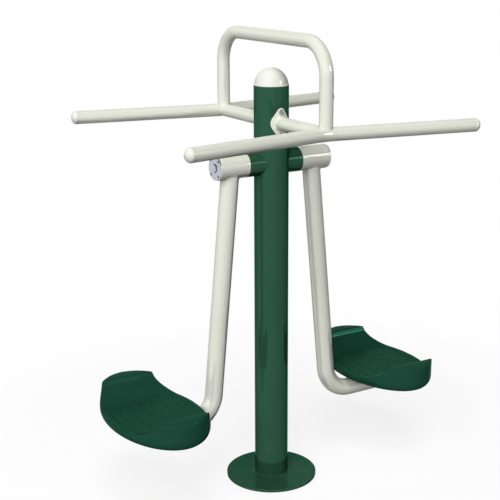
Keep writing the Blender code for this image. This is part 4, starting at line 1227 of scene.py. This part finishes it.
def floor_finish():
    """A pale floor that is white to the camera apart from the object's shadow."""
    paint = Finish("floor_paint", Roughness=1.0, Specular_IOR_Level=0.0)
    white, _ = white_rays(paint)
    colour = paint.mix(white, BOUNCE_COLOUR, FLOOR_COLOUR)
    paint.feed(paint.shader.inputs["Base Color"], colour)
    glow = paint.node("ShaderNodeEmission", {"Color": WHITE, "Strength": 1.0})
    away = paint.mask(paint.length(paint.place), NEAR_FLOOR, FAR_FLOOR)
    glow_share = white * (1.0 - (1.0 - away) * SHADOW_SHARE)
    shader = Value(paint, paint.shader.outputs[0])
    both = paint.node("ShaderNodeMixShader", {0: glow_share, 1: shader, 2: glow})
    paint.feed(paint.tree.nodes["Material Output"].inputs[0], both)
    return paint.material


reach = FLOOR_SIZE / 2
corners = [(-reach, -reach, 0), (reach, -reach, 0), (reach, reach, 0), (-reach, reach, 0)]
floor_mesh = bpy.data.meshes.new("floor")
floor_mesh.from_pydata(corners, [], [range(4)])
floor_mesh.materials.append(floor_finish())
floor = adjusted(new_object("floor", floor_mesh), location=(0, 0, -FLOOR_DROP))
print("floor:", FLOOR_SIZE, "m across")

# %% [markdown]
# ## Light
# A broad key lamp stands on the left and a second one hangs above, so the undersides
# and the right go darker. A third lights the back. All three stay out of the
# reflections. A strip on the right is only mirrored: it draws the bright streak along
# the cross tube.

# %% Set the lamps
MIDDLE = Vector((0, 0, 0.8))
LAMP_DISTANCE = 12.0


def add_lamp(name, azimuth, elevation, width, height, power, mirrored):
    """A soft lamp at angles as the camera's are given, which either lights or is mirrored."""
    around, above = math.radians(azimuth), math.radians(elevation)
    level = math.cos(above)
    way = Vector((math.sin(around) * level, -math.cos(around) * level, math.sin(above)))
    lamp = adjusted(bpy.data.lights.new(name, "AREA"), shape="RECTANGLE", size=width,
                    size_y=height, energy=power)
    adjusted(new_object(name, lamp), visible_glossy=mirrored, visible_diffuse=not mirrored,
             location=MIDDLE + way * LAMP_DISTANCE,
             rotation_euler=way.to_track_quat("Z", "Y").to_euler())
    print("lamp:", name, power, "W")


add_lamp("key", -56.0, 31.0, width=11.0, height=9.0, power=1430.0, mirrored=False)
add_lamp("top", -28.0, 62.0, width=4.0, height=4.0, power=650.0, mirrored=False)
add_lamp("back", 150.0, 12.0, width=6.0, height=6.0, power=800.0, mirrored=False)
add_lamp("strip", 38.2, 18.5, width=2.9, height=2.0, power=210.0, mirrored=True)

# %% [markdown]
# ## Surroundings
# The world is white to the camera and in gloss, and lights the object only a little.
# High up it is dim in gloss, which draws the darker band along the top of each tube.

# %% Set the world
SOFT_FILL = 0.02
DARK_CEILING = 0.65
CEILING_RANGE = (0.38, 0.50)

world = adjusted(bpy.data.worlds.new("studio"), use_nodes=True)
bpy.context.scene.world = world
sky = Wiring(world.node_tree)
sky.tree.nodes.clear()
white, gloss = white_rays(sky)
rise = sky.axis(sky.node("ShaderNodeTexCoord", output="Generated"), "Z")
ceiling = sky.mask(rise, *CEILING_RANGE)
strength = (white * (1.0 - SOFT_FILL) + SOFT_FILL) * (1.0 - gloss * ceiling * DARK_CEILING)
backdrop = sky.node("ShaderNodeBackground", {"Color": WHITE, "Strength": strength})
sky.tree.links.new(backdrop.socket, sky.tree.nodes.new("ShaderNodeOutputWorld").inputs[0])
print("world:", len(sky.tree.nodes), "nodes")

# %% [markdown]
# ## Camera
# The camera looks down by 15 degrees from in front and to the left, with a long lens.
# Its shift puts the object where the frame has it.

# %% Set the camera
CAMERA_PLACE = Vector((-1.8646, -3.0106, 1.7761))
AZIMUTH = math.radians(-31.79)
ELEVATION = math.radians(15.43)

lens = adjusted(bpy.data.cameras.new("camera"), lens=79.6, sensor_width=36.0,
                shift_x=-0.0433, shift_y=0.0053)
bpy.context.scene.camera = adjusted(new_object("camera", lens), location=CAMERA_PLACE,
                                    rotation_euler=(math.pi / 2 - ELEVATION, 0, AZIMUTH))
bpy.context.scene.view_settings.view_transform = "Standard"
print("camera:", [round(part, 3) for part in CAMERA_PLACE], "lens:", round(lens.lens, 1), "mm")
